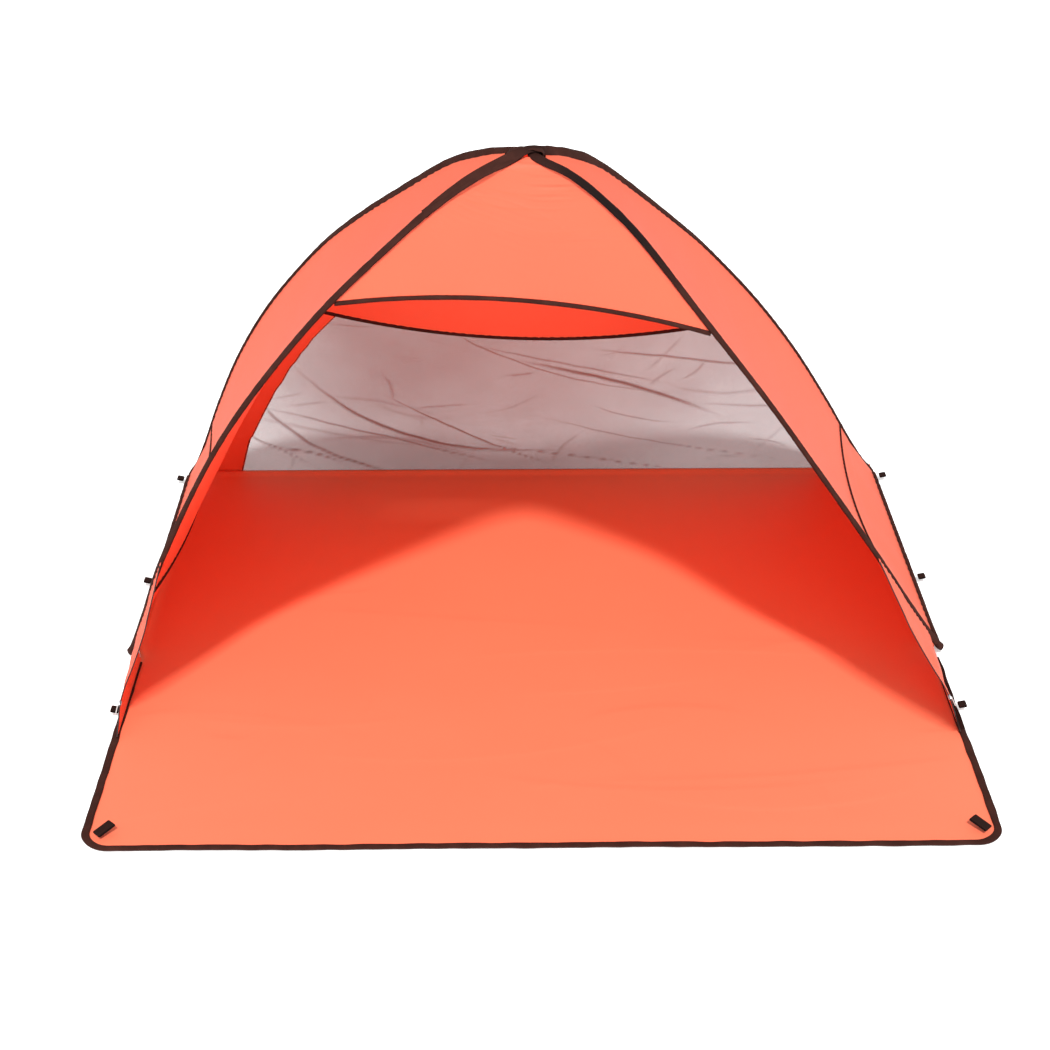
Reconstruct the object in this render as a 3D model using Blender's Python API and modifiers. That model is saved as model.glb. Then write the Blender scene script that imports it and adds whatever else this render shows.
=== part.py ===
"""A pop-up tarp shelter: two spring-wire hoops in cloth sleeves hold a canopy, side wings, a mesh
back window and a ground sheet, whose front apron folds up to close the door. Metres, +Z up,
the door facing -Y, the origin on the ground under the middle."""

import math

import bpy
from mathutils import Matrix, Vector

# Driving dimensions
DEPTH = 1.516  # ground sheet with its apron, front edge to back edge
HALF_WIDTH = 0.85  # middle to the line on which a hoop lies along the ground
APRON_DEPTH = 0.638  # front edge to the front arch
FRONT_Y = -DEPTH / 2
BACK_Y = DEPTH / 2
ARCH_Y = FRONT_Y + APRON_DEPTH  # the plane in which both front ribs stand
LEAN = -0.050  # the hoops stand this far to the left of the middle at LEAN_HEIGHT
LEAN_HEIGHT = 0.80
CROWN_LEAN = 0.50  # the share of the lean that is left at the crown
FRONT_LEAN = -0.018  # the front ribs lean this much further, half way up
FRONT_LEAN_TOP = 0.90
FRONT_LEAN_DEPTH = 0.10

ROD_RADIUS = 0.0018
FERRULE_RADIUS = 0.0035
FERRULE_WALL = 0.0013
FERRULE_LENGTH = 0.040
SLEEVE_RADIUS = 0.0080
SLEEVE_WALL = 0.0015
CLOTH = 0.0012
TAPE_RADIUS = 0.0040  # the binding tape round a sheet's edge
SEAM_RADIUS = 0.0030
GAP = 0.0008
SLEEVE_GAP = 0.0050  # between two sleeves, which meet where the hoop bends
GROUND_RUN_Z = SLEEVE_RADIUS + 0.0004

# One hoop, right side, as (x, distance behind the arch plane, z). Both ribs run from crown to ground.
FRONT_RIB = [
    (0.085, 0.000, 1.054),
    (0.150, 0.000, 1.005),
    (0.231, 0.000, 0.928),
    (0.365, 0.000, 0.778),
    (0.506, 0.000, 0.600),
    (0.610, 0.000, 0.447),
    (0.733, 0.000, 0.242),
    (0.799, 0.000, 0.115),
    (0.840, 0.000, 0.040),
]
CROWN_TURN = [(0.034, 0.006, 1.077), (0.013, 0.030, 1.084), (0.034, 0.058, 1.079)]
BACK_RIB = [
    (0.080, 0.098, 1.062),
    (0.130, 0.158, 1.030),
    (0.200, 0.240, 0.965),
    (0.334, 0.397, 0.826),
    (0.425, 0.493, 0.722),
    (0.544, 0.608, 0.562),
    (0.643, 0.696, 0.404),
    (0.725, 0.766, 0.246),
    (0.784, 0.814, 0.120),
    (0.822, 0.844, 0.046),
]
GROUND_TURN_BACK = [(0.842, 0.856, 0.018), (0.850, 0.832, GROUND_RUN_Z)]
GROUND_TURN_FRONT = [(0.851, 0.050, GROUND_RUN_Z), (0.853, 0.026, 0.0100), (0.854, 0.008, 0.018)]
GROUND_RUN = [(0.850, 0.700, GROUND_RUN_Z), (0.850, 0.450, GROUND_RUN_Z), (0.850, 0.180, GROUND_RUN_Z)]
POINTS_PER_SPAN = 2

RIB_ROWS = 24  # equal steps along a rib, from crown to ground
WING_TOP_ROW = 0.8
SEAM_ROW = 21.7  # where the wing's cloth meets its skirt
CANOPY_TOP_ROW = 0.2
HEM_ROW = 7.1  # the hem of the front canopy, on the left rib
HEM_SKEW = 0.8  # and this much further down on the right rib
WINDOW_ROW = 13.8  # the top of the mesh window, on the left rib
WINDOW_SKEW = 0.7  # and this much further down on the right rib
WING_SAG = 0.046
BACK_SAG = 0.090
CANOPY_BULGE = 0.012
HEM_RISE = 0.042  # the canopy's hem arches up by this in the middle
EDGE_INSET = SLEEVE_RADIUS + 0.0016
STRIP_WIDTH = (0.140, 0.095)  # cloth between a back rib and the mesh, at the window's top and foot
WING_COLUMNS = 6
BACK_COLUMNS = 10
FINE_STEPS = 400
FOOT_Z = 0.0105  # the lowest edge of the back, just over the floor's tape

FLOOR_INSET = 0.0115  # sheet edge to the hoop's line on the ground
TAPE_LINE = FLOOR_INSET + 0.001
CORNER_RADIUS = 0.050
HINGE_Y = ARCH_Y - SLEEVE_RADIUS - 0.0005
GUSSET_TOP_Z = 0.240
GUSSET_FOOT_Y = FRONT_Y + 0.346
GUSSET_ROWS = 6

LOOP_WIDTH = 0.020
LOOP_THICK = 0.0052
LOOP_WALL = 0.0012
LOOP_PIVOT_Z = 0.0128
LONG_LOOP = 0.038
SHORT_LOOP = 0.017
LOOP_TILT = math.radians(12)
SIDE_LOOP_Y = FRONT_Y + 0.433
MIDDLE_LOOP_Y = FRONT_Y + 0.951
BACK_LOOP_Y = FRONT_Y + 1.456
CROWN_TIE = (0.034, 0.0125, 0.0120)  # half length, half height and width of the tie at the crown

PARTS = "tarp_shelter"
CLOTH_ORANGE = (1.0, 0.235, 0.125)
TAPE_BROWN = (0.045, 0.020, 0.015)
MESH_GREY = (0.50, 0.46, 0.46)
STEEL = (0.55, 0.55, 0.56)


def clear_scene():
    for obj in list(bpy.data.objects):
        bpy.data.objects.remove(obj, do_unlink=True)


def make_material(name, colour, roughness, metallic=0.0):
    material = bpy.data.materials.new(name)
    material.use_nodes = True
    shader = material.node_tree.nodes["Principled BSDF"]
    shader.inputs["Base Color"].default_value = (*colour, 1.0)
    shader.inputs["Roughness"].default_value = roughness
    shader.inputs["Metallic"].default_value = metallic
    material.diffuse_color = (*colour, 1.0)
    return material


def add_object(name, data, material):
    obj = bpy.data.objects.new(name, data)
    data.materials.clear()
    data.materials.append(material)
    bpy.data.collections[PARTS].objects.link(obj)
    return obj


def catmull(points, per_span):
    """Points along the smooth curve through the given ones, which it keeps."""
    path = []
    last = len(points) - 1
    for i in range(last):
        p0, p1 = points[max(i - 1, 0)], points[i]
        p2, p3 = points[i + 1], points[min(i + 2, last)]
        for step in range(per_span):
            t = step / per_span
            path.append(
                0.5
                * (
                    2 * p1
                    + (p2 - p0) * t
                    + (2 * p0 - 5 * p1 + 4 * p2 - p3) * t**2
                    + (3 * p1 - 3 * p2 + p3 - p0) * t**3
                )
            )
    return path + [points[last]]


def resample(points, count):
    """The same path as count equal steps."""
    lengths = [0.0]
    for a, b in zip(points, points[1:]):
        lengths.append(lengths[-1] + (b - a).length)
    result = []
    for k in range(count + 1):
        target = lengths[-1] * k / count
        i = next((j for j in range(1, len(lengths)) if lengths[j] >= target - 1e-9), len(lengths) - 1)
        t = (target - lengths[i - 1]) / (lengths[i] - lengths[i - 1])
        result.append(points[i - 1].lerp(points[i], min(max(t, 0.0), 1.0)))
    return result


def lean_at(z, behind=0.0):
    """How far the cloth and the hoops lean sideways at a height, and a distance behind the arch."""
    front = FRONT_LEAN * math.sin(math.pi * min(z / FRONT_LEAN_TOP, 1.0))
    front *= max(1 - behind / FRONT_LEAN_DEPTH, 0.0)
    if z < LEAN_HEIGHT:
        return front + LEAN * math.sin(math.pi / 2 * z / LEAN_HEIGHT)
    share = (z - LEAN_HEIGHT) / (CROWN_TURN[1][2] - LEAN_HEIGHT)
    return front + LEAN * (1 - (1 - CROWN_LEAN) * min(share, 1.0))


def place(side, point):
    """A point of the right-hand hoop, for side +1, or of its mirror image, for side -1, with the lean."""
    x, behind, z = point
    return Vector((side * x + lean_at(z, behind), ARCH_Y + behind, z))


def section(side, points):
    return [place(side, point) for point in points]


def tube(name, points, radius, material, resolution=1, wall=0.0):
    """A round tube along a path: solid, or hollow with the given wall."""
    curve = bpy.data.curves.new(name, "CURVE")
    curve.dimensions = "3D"
    curve.bevel_depth = radius
    curve.bevel_resolution = resolution
    curve.use_fill_caps = wall == 0.0
    spline = curve.splines.new("POLY")
    spline.points.add(len(points) - 1)
    for target, point in zip(spline.points, points):
        target.co = (*point, 1.0)
    obj = add_object(name, curve, material)
    if wall:
        shell = obj.modifiers.new("wall", "SOLIDIFY")
        shell.thickness = wall
        shell.offset = -1.0
    return obj


def cloth_sheet(name, rows, material):
    """A sheet of cloth on a grid of points, one list for each row."""
    width = len(rows[0])
    verts = [point for row in rows for point in row]
    faces = []
    for r in range(len(rows) - 1):
        for c in range(width - 1):
            a = r * width + c
            faces.append((a, a + 1, a + width + 1, a + width))
    mesh = bpy.data.meshes.new(name)
    mesh.from_pydata(verts, [], faces)
    mesh.shade_smooth()
    obj = add_object(name, mesh, material)
    shell = obj.modifiers.new("thickness", "SOLIDIFY")
    shell.thickness = CLOTH
    shell.offset = 0.0
    return obj


def plate(name, outline, low_z, thickness, material):
    curve = bpy.data.curves.new(name, "CURVE")
    curve.dimensions = "2D"
    curve.fill_mode = "BOTH"
    curve.extrude = thickness / 2
    spline = curve.splines.new("POLY")
    spline.points.add(len(outline) - 1)
    for target, (x, y) in zip(spline.points, outline):
        target.co = (x, y, 0.0, 1.0)
    spline.use_cyclic_u = True
    obj = add_object(name, curve, material)
    obj.location.z = low_z + thickness / 2
    return obj


def stadium(half_length, radius, steps=5):
    """A closed outline with two round ends, along X."""
    points = []
    for end in (1, -1):
        for k in range(steps + 1):
            angle = math.pi * (k / steps - 0.5)
            points.append((end * (half_length - radius + radius * math.cos(angle)), end * radius * math.sin(angle)))
    return points


def band(name, half_length, half_height, width, wall, matrix, material):
    """A closed band of webbing: a stadium ring in X and Z, as wide as given along Y."""
    curve = bpy.data.curves.new(name, "CURVE")
    curve.dimensions = "2D"
    curve.fill_mode = "BOTH"
    curve.extrude = width / 2
    for inset in (0.0, wall):
        outline = stadium(half_length - inset, half_height - inset)
        spline = curve.splines.new("POLY")
        spline.points.add(len(outline) - 1)
        for target, (x, z) in zip(spline.points, outline):
            target.co = (x, z, 0.0, 1.0)
        spline.use_cyclic_u = True
    obj = add_object(name, curve, material)
    obj.matrix_world = matrix @ Matrix.Rotation(math.pi / 2, 4, "X")
    return obj


def chord_row(start, end, columns, inset_a, inset_b, sag, inward):
    """Points between two ribs, kept clear of both, hanging off the straight line by sag."""
    chord = end - start
    length = chord.length
    row = []
    for c in range(columns + 1):
        t = (inset_a + (length - inset_a - inset_b) * c / columns) / length
        row.append(start + chord * t + inward * (sag * 4 * t * (1 - t)))
    return row


def sine_between(a, b):
    return max(a.normalized().cross(b.normalized()).length, 0.25)


def inward_normal(start, end, along, towards):
    normal = (end - start).cross(along).normalized()
    return normal if normal.dot(towards - start) > 0 else -normal


def on_rib(rows, u):
    """The point at row u of a rib, and the direction of the rib there."""
    i = min(int(u), RIB_ROWS - 1)
    return rows[i].lerp(rows[i + 1], u - i), rows[i + 1] - rows[i]


def rib_rows(edge_a, edge_b, first, last, columns, sag_at, towards, inset=EDGE_INSET, skew=0.0, skew_top=0.0):
    """Rows of a sheet between two ribs. On the second rib its first row is lower by skew_top, its last by skew."""
    rows = []
    steps = max(round(last - first), 1)
    for k in range(steps + 1):
        u = first + (last - first) * k / steps
        a, along_a = on_rib(edge_a, u)
        b, along_b = on_rib(edge_b, u + skew_top + (skew - skew_top) * k / steps)
        inward = inward_normal(a, b, along_a + along_b, towards)
        clear_a = inset / sine_between(b - a, along_a)
        clear_b = inset / sine_between(b - a, along_b)
        rows.append(chord_row(a, b, columns, clear_a, clear_b, sag_at(u / RIB_ROWS), inward))
    return rows


def side_name(side):
    return "right" if side > 0 else "left"


class Hoop:
    """The paths of one hoop, in place."""

    def __init__(self, side):
        self.front = catmull(section(side, FRONT_RIB), POINTS_PER_SPAN)
        self.back = catmull(section(side, BACK_RIB), POINTS_PER_SPAN)
        self.front_rows = resample(catmull(section(side, FRONT_RIB), 8), RIB_ROWS)
        self.back_rows = resample(catmull(section(side, BACK_RIB), 8), RIB_ROWS)
        loop = section(
            side,
            CROWN_TURN[1:2] + CROWN_TURN[:1] + FRONT_RIB + GROUND_TURN_FRONT[::-1] + GROUND_RUN[::-1]
            + GROUND_TURN_BACK[::-1] + BACK_RIB[::-1] + CROWN_TURN[:0:-1],
        )
        closed = catmull(loop[-3:-1] + loop + loop[1:3], POINTS_PER_SPAN)
        self.path = closed[2 * POINTS_PER_SPAN : len(closed) - 2 * POINTS_PER_SPAN]
        self.front_end = (1 + len(FRONT_RIB) + 1) * POINTS_PER_SPAN
        self.ground_end = self.front_end + (len(GROUND_RUN) + 3) * POINTS_PER_SPAN
        self.middle = self.front_end + 3 * POINTS_PER_SPAN + POINTS_PER_SPAN // 2


def trimmed(points, gap):
    """A path whose two ends are cut back, so that two sleeves meet without touching."""
    start = points[0] + (points[1] - points[0]).normalized() * gap
    end = points[-1] + (points[-2] - points[-1]).normalized() * gap
    return [start] + points[1:-1] + [end]


def make_hoop(side, hoop, steel, tape):
    """The wire, the ferrule that closes it, and the three sleeves it runs in."""
    name = side_name(side)
    middle = hoop.middle
    wire = hoop.path[middle:-1] + hoop.path[: middle + 1]
    tube(f"{name}_hoop_wire", trimmed(wire, GAP), ROD_RADIUS, steel)
    joint = hoop.path[middle]
    along = (hoop.path[middle + 1] - hoop.path[middle - 1]).normalized() * (FERRULE_LENGTH / 2)
    tube(f"{name}_wire_ferrule", [joint - along, joint + along], FERRULE_RADIUS, steel, 2, FERRULE_WALL)
    cuts = {
        "front_rib_sleeve": hoop.path[: hoop.front_end + 1],
        "ground_sleeve": hoop.path[hoop.front_end : hoop.ground_end + 1],
        "back_rib_sleeve": hoop.path[hoop.ground_end :],
    }
    for part, points in cuts.items():
        tube(f"{name}_{part}", trimmed(points, SLEEVE_GAP), SLEEVE_RADIUS, tape, 1, SLEEVE_WALL)


def make_wing(side, hoop, cloth, tape):
    """The side wing, the seam tape under it, and the skirt down to the hoop's run on the ground."""
    name = side_name(side)
    inside = Vector((0.0, ARCH_Y + 0.35, 0.30))

    def sag(u):
        return WING_SAG * math.sin(math.pi * min(u, 1.0) ** 2.2) ** 0.6 if u < 1 else 0.0

    half_seam = 0.18
    wing = rib_rows(
        hoop.front_rows, hoop.back_rows, WING_TOP_ROW, SEAM_ROW - half_seam, WING_COLUMNS, sag, inside
    )
    cloth_sheet(f"{name}_wing", wing, cloth)
    seam = rib_rows(
        hoop.front_rows, hoop.back_rows, SEAM_ROW, SEAM_ROW + 1e-6, WING_COLUMNS * 2, sag, inside,
        EDGE_INSET + 0.002,
    )[0]
    tube(f"{name}_wing_seam_tape", seam, SEAM_RADIUS, tape)
    skirt = rib_rows(
        hoop.front_rows, hoop.back_rows, SEAM_ROW + half_seam, RIB_ROWS - 1, WING_COLUMNS, sag, inside
    )
    foot_z = GROUND_RUN_Z + SLEEVE_RADIUS + CLOTH + GAP
    foot = [place(side, (HALF_WIDTH - 0.003, y, foot_z)) for y in (0.045, 0.825)]
    skirt.append([foot[0].lerp(foot[1], c / WING_COLUMNS) for c in range(WING_COLUMNS + 1)])
    cloth_sheet(f"{name}_skirt", skirt, cloth)


def make_front_canopy(hoops, cloth, tape):
    """The front panel between the front ribs, and the taped hem that is the top of the door."""
    outside = Vector((0.0, ARCH_Y - 1.0, 0.6))
    rows = rib_rows(
        hoops[-1].front_rows, hoops[1].front_rows, CANOPY_TOP_ROW, HEM_ROW, BACK_COLUMNS,
        lambda u: CANOPY_BULGE, outside, skew=HEM_SKEW,
    )
    for r, row in enumerate(rows):
        share = (r / (len(rows) - 1)) ** 3
        for c, point in enumerate(row):
            t = c / BACK_COLUMNS
            point.z += HEM_RISE * share * 4 * t * (1 - t)
    cloth_sheet("front_canopy", rows, cloth)
    drop = TAPE_RADIUS + CLOTH / 2 + GAP
    hem = [point - Vector((0, 0, drop)) for point in rows[-1]]
    hem[0].x += 0.004
    hem[-1].x -= 0.004
    tube("front_canopy_hem", resample(catmull(hem, 2), 16), TAPE_RADIUS, tape, 2)


def make_back(hoops, cloth, mesh, tape):
    """The back: a canopy from the crown, and under it the mesh window between two strips of cloth."""
    inside = Vector((0.0, ARCH_Y - 1.0, 0.0))
    left, right = hoops[-1].back_rows, hoops[1].back_rows

    def sag(u):
        return BACK_SAG * math.sin(math.pi * u) ** 0.8 if 0 < u < 1 else 0.0

    seam = 0.16
    canopy = rib_rows(
        left, right, CANOPY_TOP_ROW, WINDOW_ROW - seam, BACK_COLUMNS, sag, inside, skew=WINDOW_SKEW
    )
    cloth_sheet("back_canopy", canopy, cloth)
    top = rib_rows(
        left, right, WINDOW_ROW, WINDOW_ROW + 1e-6, BACK_COLUMNS * 2, sag, inside, skew_top=WINDOW_SKEW
    )[0]
    tube("window_top_tape", top[1:-1], SEAM_RADIUS, tape)
    columns = BACK_COLUMNS * 4
    full = rib_rows(
        left, right, WINDOW_ROW + seam, RIB_ROWS - 1.3, columns, sag, inside, skew_top=WINDOW_SKEW
    )
    foot_y = BACK_Y - 2 * TAPE_RADIUS - CLOTH
    foot = [Vector((side * (HALF_WIDTH - 0.036), foot_y, FOOT_Z)) for side in (-1, 1)]
    full.append([foot[0].lerp(foot[1], c / columns) for c in range(columns + 1)])
    window, strips = [], {-1: [], 1: []}
    for r, row in enumerate(full):
        width = STRIP_WIDTH[0] + (STRIP_WIDTH[1] - STRIP_WIDTH[0]) * r / (len(full) - 1)
        total = sum((b - a).length for a, b in zip(row, row[1:]))
        fine = resample(row, FINE_STEPS)
        cut = round(FINE_STEPS * width / total)
        strips[-1].append(resample(fine[: cut + 1], 2))
        window.append(resample(fine[cut + 1 : FINE_STEPS - cut], BACK_COLUMNS))
        strips[1].append(resample(fine[FINE_STEPS - cut :], 2))
    cloth_sheet("window_mesh", window, mesh)
    for side, rows in strips.items():
        cloth_sheet(f"back_{side_name(side)}_strip", rows, cloth)


def corner_arc(centre_x, centre_y, radius, start, steps=6):
    points = []
    for k in range(steps + 1):
        angle = start + math.pi / 2 * k / steps
        points.append((centre_x + radius * math.cos(angle), centre_y + radius * math.sin(angle)))
    return points


def make_floor(cloth, tape):
    """The ground sheet inside the walls and the tape along its back edge."""
    half = HALF_WIDTH - FLOOR_INSET
    front, back = HINGE_Y + 0.003, BACK_Y - 2 * TAPE_RADIUS - GAP
    plate("ground_sheet", [(-half, front), (half, front), (half, back), (-half, back)], 0.0, CLOTH, cloth)
    y = BACK_Y - TAPE_RADIUS
    reach = HALF_WIDTH - 0.030
    points = [Vector((x * reach / 8, y, TAPE_RADIUS)) for x in range(-8, 9, 2)]
    tube("ground_sheet_back_tape", points, TAPE_RADIUS, tape, 2)


def make_apron(cloth, tape):
    """The front of the ground sheet, which folds up along the arch, and the tape round its edge."""
    line = HALF_WIDTH - TAPE_LINE
    low = FRONT_Y + TAPE_RADIUS
    radius = CORNER_RADIUS
    rear = HINGE_Y - 0.003
    left_corner = corner_arc(-line + radius, low + radius, radius, math.pi)
    right_corner = corner_arc(line - radius, low + radius, radius, 1.5 * math.pi)
    side_ys = [rear + (low + radius - rear) * k / 4 for k in range(4)]
    edge = [(-line, y) for y in side_ys] + left_corner
    edge += [(x * (line - radius) / 4, low) for x in range(-3, 4)]
    edge += right_corner + [(line, y) for y in reversed(side_ys)]
    tube("apron_edge_tape", [Vector((x, y, TAPE_RADIUS)) for x, y in edge], TAPE_RADIUS, tape, 2)
    inset = TAPE_RADIUS + GAP
    inner = corner_arc(-line + radius, low + radius, radius - inset, math.pi)
    inner += corner_arc(line - radius, low + radius, radius - inset, 1.5 * math.pi)
    outline = [(-line + inset, rear)] + inner + [(line - inset, rear)]
    plate("apron", outline, 0.0, CLOTH, cloth)


def make_gusset(side, cloth, tape):
    """The triangle of cloth from the front rib down to the apron's edge, and the zip along its front."""
    name = side_name(side)
    rib = resample(catmull([Vector(p) for p in FRONT_RIB], 8), 400)
    back_y = ARCH_Y - SLEEVE_RADIUS - 0.005
    foot_z = 2 * TAPE_RADIUS + 0.0035
    rows, zip_line = [], []
    for r in range(GUSSET_ROWS + 1):
        t = r / GUSSET_ROWS
        z = GUSSET_TOP_Z + (foot_z - GUSSET_TOP_Z) * t
        x = min(min(rib, key=lambda p: abs(p.z - z)).x, HALF_WIDTH - 0.020)
        front_y = back_y - 0.014 + (GUSSET_FOOT_Y - back_y + 0.014) * t**1.25
        belly = 0.012 * math.sin(math.pi * t)
        row = []
        for c in range(4):
            y = back_y + (front_y - back_y) * c / 3
            row.append(Vector((side * (x - belly * c / 3) + lean_at(z), y, z)))
        rows.append(row)
        zip_line.append(row[-1] + Vector((0, -SEAM_RADIUS - CLOTH / 2 - GAP, 0)))
    cloth_sheet(f"{name}_gusset", rows, cloth)
    tube(f"{name}_door_zip", zip_line, 0.0024, tape)


def make_stake_loop(name, pivot, direction, length, material):
    """A peg loop that turns about a line across its near end, and points along direction at rest."""
    heading = math.atan2(direction[1], direction[0])
    matrix = (
        Matrix.Translation(pivot)
        @ Matrix.Rotation(heading, 4, "Z")
        @ Matrix.Rotation(-LOOP_TILT, 4, "Y")
        @ Matrix.Translation((length / 2 - LOOP_THICK / 2, 0.0, 0.0))
    )
    band(name, length / 2, LOOP_THICK / 2, LOOP_WIDTH, LOOP_WALL, matrix, material)


def make_stake_loops(tape):
    line = HALF_WIDTH - TAPE_LINE
    reach = CORNER_RADIUS * (1 - math.sqrt(0.5))
    step_in = 0.0095
    for side in (-1, 1):
        name = side_name(side)
        x = side * (line - reach - step_in)
        pivot = (x, FRONT_Y + TAPE_RADIUS + reach + step_in, LOOP_PIVOT_Z)
        make_stake_loop(f"{name}_front_stake_loop", pivot, (-side, 1.0), LONG_LOOP, tape)
        outer = side * (line + TAPE_RADIUS + 0.0045)
        make_stake_loop(
            f"{name}_side_stake_loop", (outer, SIDE_LOOP_Y, LOOP_PIVOT_Z), (side, 0.0), SHORT_LOOP, tape
        )
        outer = side * (HALF_WIDTH + SLEEVE_RADIUS + 0.0055)
        for where, y in (("middle", MIDDLE_LOOP_Y), ("back", BACK_LOOP_Y)):
            make_stake_loop(
                f"{name}_{where}_stake_loop", (outer, y, LOOP_PIVOT_Z), (side, 0.0), SHORT_LOOP, tape
            )


def make_crown_tie(tape):
    """The band that ties the two hoops together where their tips meet."""
    half_length, half_height, width = CROWN_TIE
    x, behind, z = CROWN_TURN[1]
    matrix = Matrix.Translation((lean_at(z, behind), ARCH_Y + behind, z))
    band("crown_tie", half_length, half_height, width, LOOP_WALL, matrix, tape)


def main():
    clear_scene()
    bpy.context.scene.collection.children.link(bpy.data.collections.new(PARTS))
    cloth = make_material("orange_cloth", CLOTH_ORANGE, 0.6)
    tape = make_material("brown_tape", TAPE_BROWN, 0.8)
    mesh = make_material("window_mesh", MESH_GREY, 0.8)
    steel = make_material("spring_steel", STEEL, 0.35, 1.0)
    hoops = {side: Hoop(side) for side in (-1, 1)}
    for side, hoop in hoops.items():
        make_hoop(side, hoop, steel, tape)
        make_wing(side, hoop, cloth, tape)
        make_gusset(side, cloth, tape)
    make_front_canopy(hoops, cloth, tape)
    make_back(hoops, cloth, mesh, tape)
    make_floor(cloth, tape)
    make_apron(cloth, tape)
    make_stake_loops(tape)
    make_crown_tie(tape)


main()
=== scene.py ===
"""The looks of a pop-up tarp shelter in orange cloth, brown tape, mesh and spring steel, built round its
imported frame. Metres, +Z up, the door facing -Y, the origin on the ground under the middle."""

import itertools
import math

import bpy
import numpy as np
from mathutils import Matrix, Vector


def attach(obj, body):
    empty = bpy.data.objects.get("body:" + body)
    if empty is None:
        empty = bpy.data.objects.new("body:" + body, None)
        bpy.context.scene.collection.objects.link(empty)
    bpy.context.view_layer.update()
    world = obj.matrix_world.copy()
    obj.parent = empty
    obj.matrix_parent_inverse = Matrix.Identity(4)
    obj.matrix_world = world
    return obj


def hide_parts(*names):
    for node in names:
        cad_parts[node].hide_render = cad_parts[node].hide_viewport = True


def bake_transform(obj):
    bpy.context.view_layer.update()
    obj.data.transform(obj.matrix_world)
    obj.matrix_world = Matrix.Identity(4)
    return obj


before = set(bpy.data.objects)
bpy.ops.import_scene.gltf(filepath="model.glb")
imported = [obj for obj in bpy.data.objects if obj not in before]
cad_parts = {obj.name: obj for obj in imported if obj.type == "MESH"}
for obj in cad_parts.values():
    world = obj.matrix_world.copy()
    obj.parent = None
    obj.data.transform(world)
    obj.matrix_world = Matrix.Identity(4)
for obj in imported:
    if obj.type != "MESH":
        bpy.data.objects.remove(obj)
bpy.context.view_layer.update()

# The frame's own lines, as the CAD has them
DEPTH = 1.516
HALF_WIDTH = 0.85
FRONT_Y = -DEPTH / 2
BACK_Y = DEPTH / 2
ARCH_Y = FRONT_Y + 0.638
HINGE_Y = ARCH_Y - 0.0085
LEAN = -0.050
LEAN_HEIGHT = 0.80
CROWN_LEAN = 0.50
FRONT_LEAN = -0.018
FRONT_LEAN_TOP = 0.90
FRONT_LEAN_DEPTH = 0.10
GROUND_RUN_Z = 0.0084
FRONT_RIB = [
    (0.085, 0.000, 1.054),
    (0.150, 0.000, 1.005),
    (0.231, 0.000, 0.928),
    (0.365, 0.000, 0.778),
    (0.506, 0.000, 0.600),
    (0.610, 0.000, 0.447),
    (0.733, 0.000, 0.242),
    (0.799, 0.000, 0.115),
    (0.840, 0.000, 0.040),
]
CROWN_TURN = [(0.034, 0.006, 1.077), (0.013, 0.030, 1.084), (0.034, 0.058, 1.079)]
BACK_RIB = [
    (0.080, 0.098, 1.062),
    (0.130, 0.158, 1.030),
    (0.200, 0.240, 0.965),
    (0.334, 0.397, 0.826),
    (0.425, 0.493, 0.722),
    (0.544, 0.608, 0.562),
    (0.643, 0.696, 0.404),
    (0.725, 0.766, 0.246),
    (0.784, 0.814, 0.120),
    (0.822, 0.844, 0.046),
]
GROUND_TURN_BACK = [(0.842, 0.856, 0.018), (0.850, 0.832, GROUND_RUN_Z)]
GROUND_TURN_FRONT = [(0.851, 0.050, GROUND_RUN_Z), (0.853, 0.026, 0.0100), (0.854, 0.008, 0.018)]
GROUND_RUN = [(0.850, 0.700, GROUND_RUN_Z), (0.850, 0.450, GROUND_RUN_Z), (0.850, 0.180, GROUND_RUN_Z)]
PER_SPAN = 8  # points on each span of a hoop's curve
RIB_ROWS = 24
ROW_STEPS = 10
RIB_STEPS = RIB_ROWS * ROW_STEPS
CROWN_ROWS = 1.2  # the rows from a rib's top up to the tip of its hoop
WING_TOP_ROW = -0.7
SEAM_ROW = 21.7
CANOPY_TOP_ROW = -1.0
HEM_ROW = 7.1
HEM_SKEW = 0.8
WINDOW_ROW = 13.8
WINDOW_SKEW = 0.7
WING_SAG = 0.046
BACK_SAG = 0.090
CANOPY_BULGE = 0.012
HEM_RISE = 0.042
STRIP_WIDTH = (0.140, 0.095)
EDGE_INSET = 0.0040  # the cloth runs this near to the wire, into its sleeve
FLOOR_HALF = HALF_WIDTH - 0.0115
EDGE_LINE = HALF_WIDTH - 0.0125
CORNER_RADIUS = 0.050
GUSSET_TOP_Z = 0.240
GUSSET_FOOT_Y = FRONT_Y + 0.346
GUSSET_ROWS = 12
GUSSET_COLUMNS = 6
LOOP_WIDTH = 0.020
LOOP_THICK = 0.0052
WEBBING_HALF = 0.0007
LOOP_PIVOT_Z = 0.0128
LONG_LOOP = 0.038
SHORT_LOOP = 0.017
LOOP_TILT = math.radians(12)
SIDE_LOOP_Y = FRONT_Y + 0.433
MIDDLE_LOOP_Y = FRONT_Y + 0.951
BACK_LOOP_Y = FRONT_Y + 1.456

# The cloth and its trimmings
CLOTH_THICK = 0.0007
MESH_THICK = 0.0006
SEAM_ALLOWANCE = 0.010
CORE = Vector((0.0, ARCH_Y + 0.35, 0.25))  # inside the shelter: every outer face looks away from it
STITCH_STEP = 0.0052
STITCH_LONG = 0.0036
STITCH_RADIUS = 0.00042
SEAM_SHARE = 0.62  # how far out a narrow tape is stitched, as a share of its half width
WEAVE_PITCH = 0.0011
MESH_PITCH = 0.0024

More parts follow.
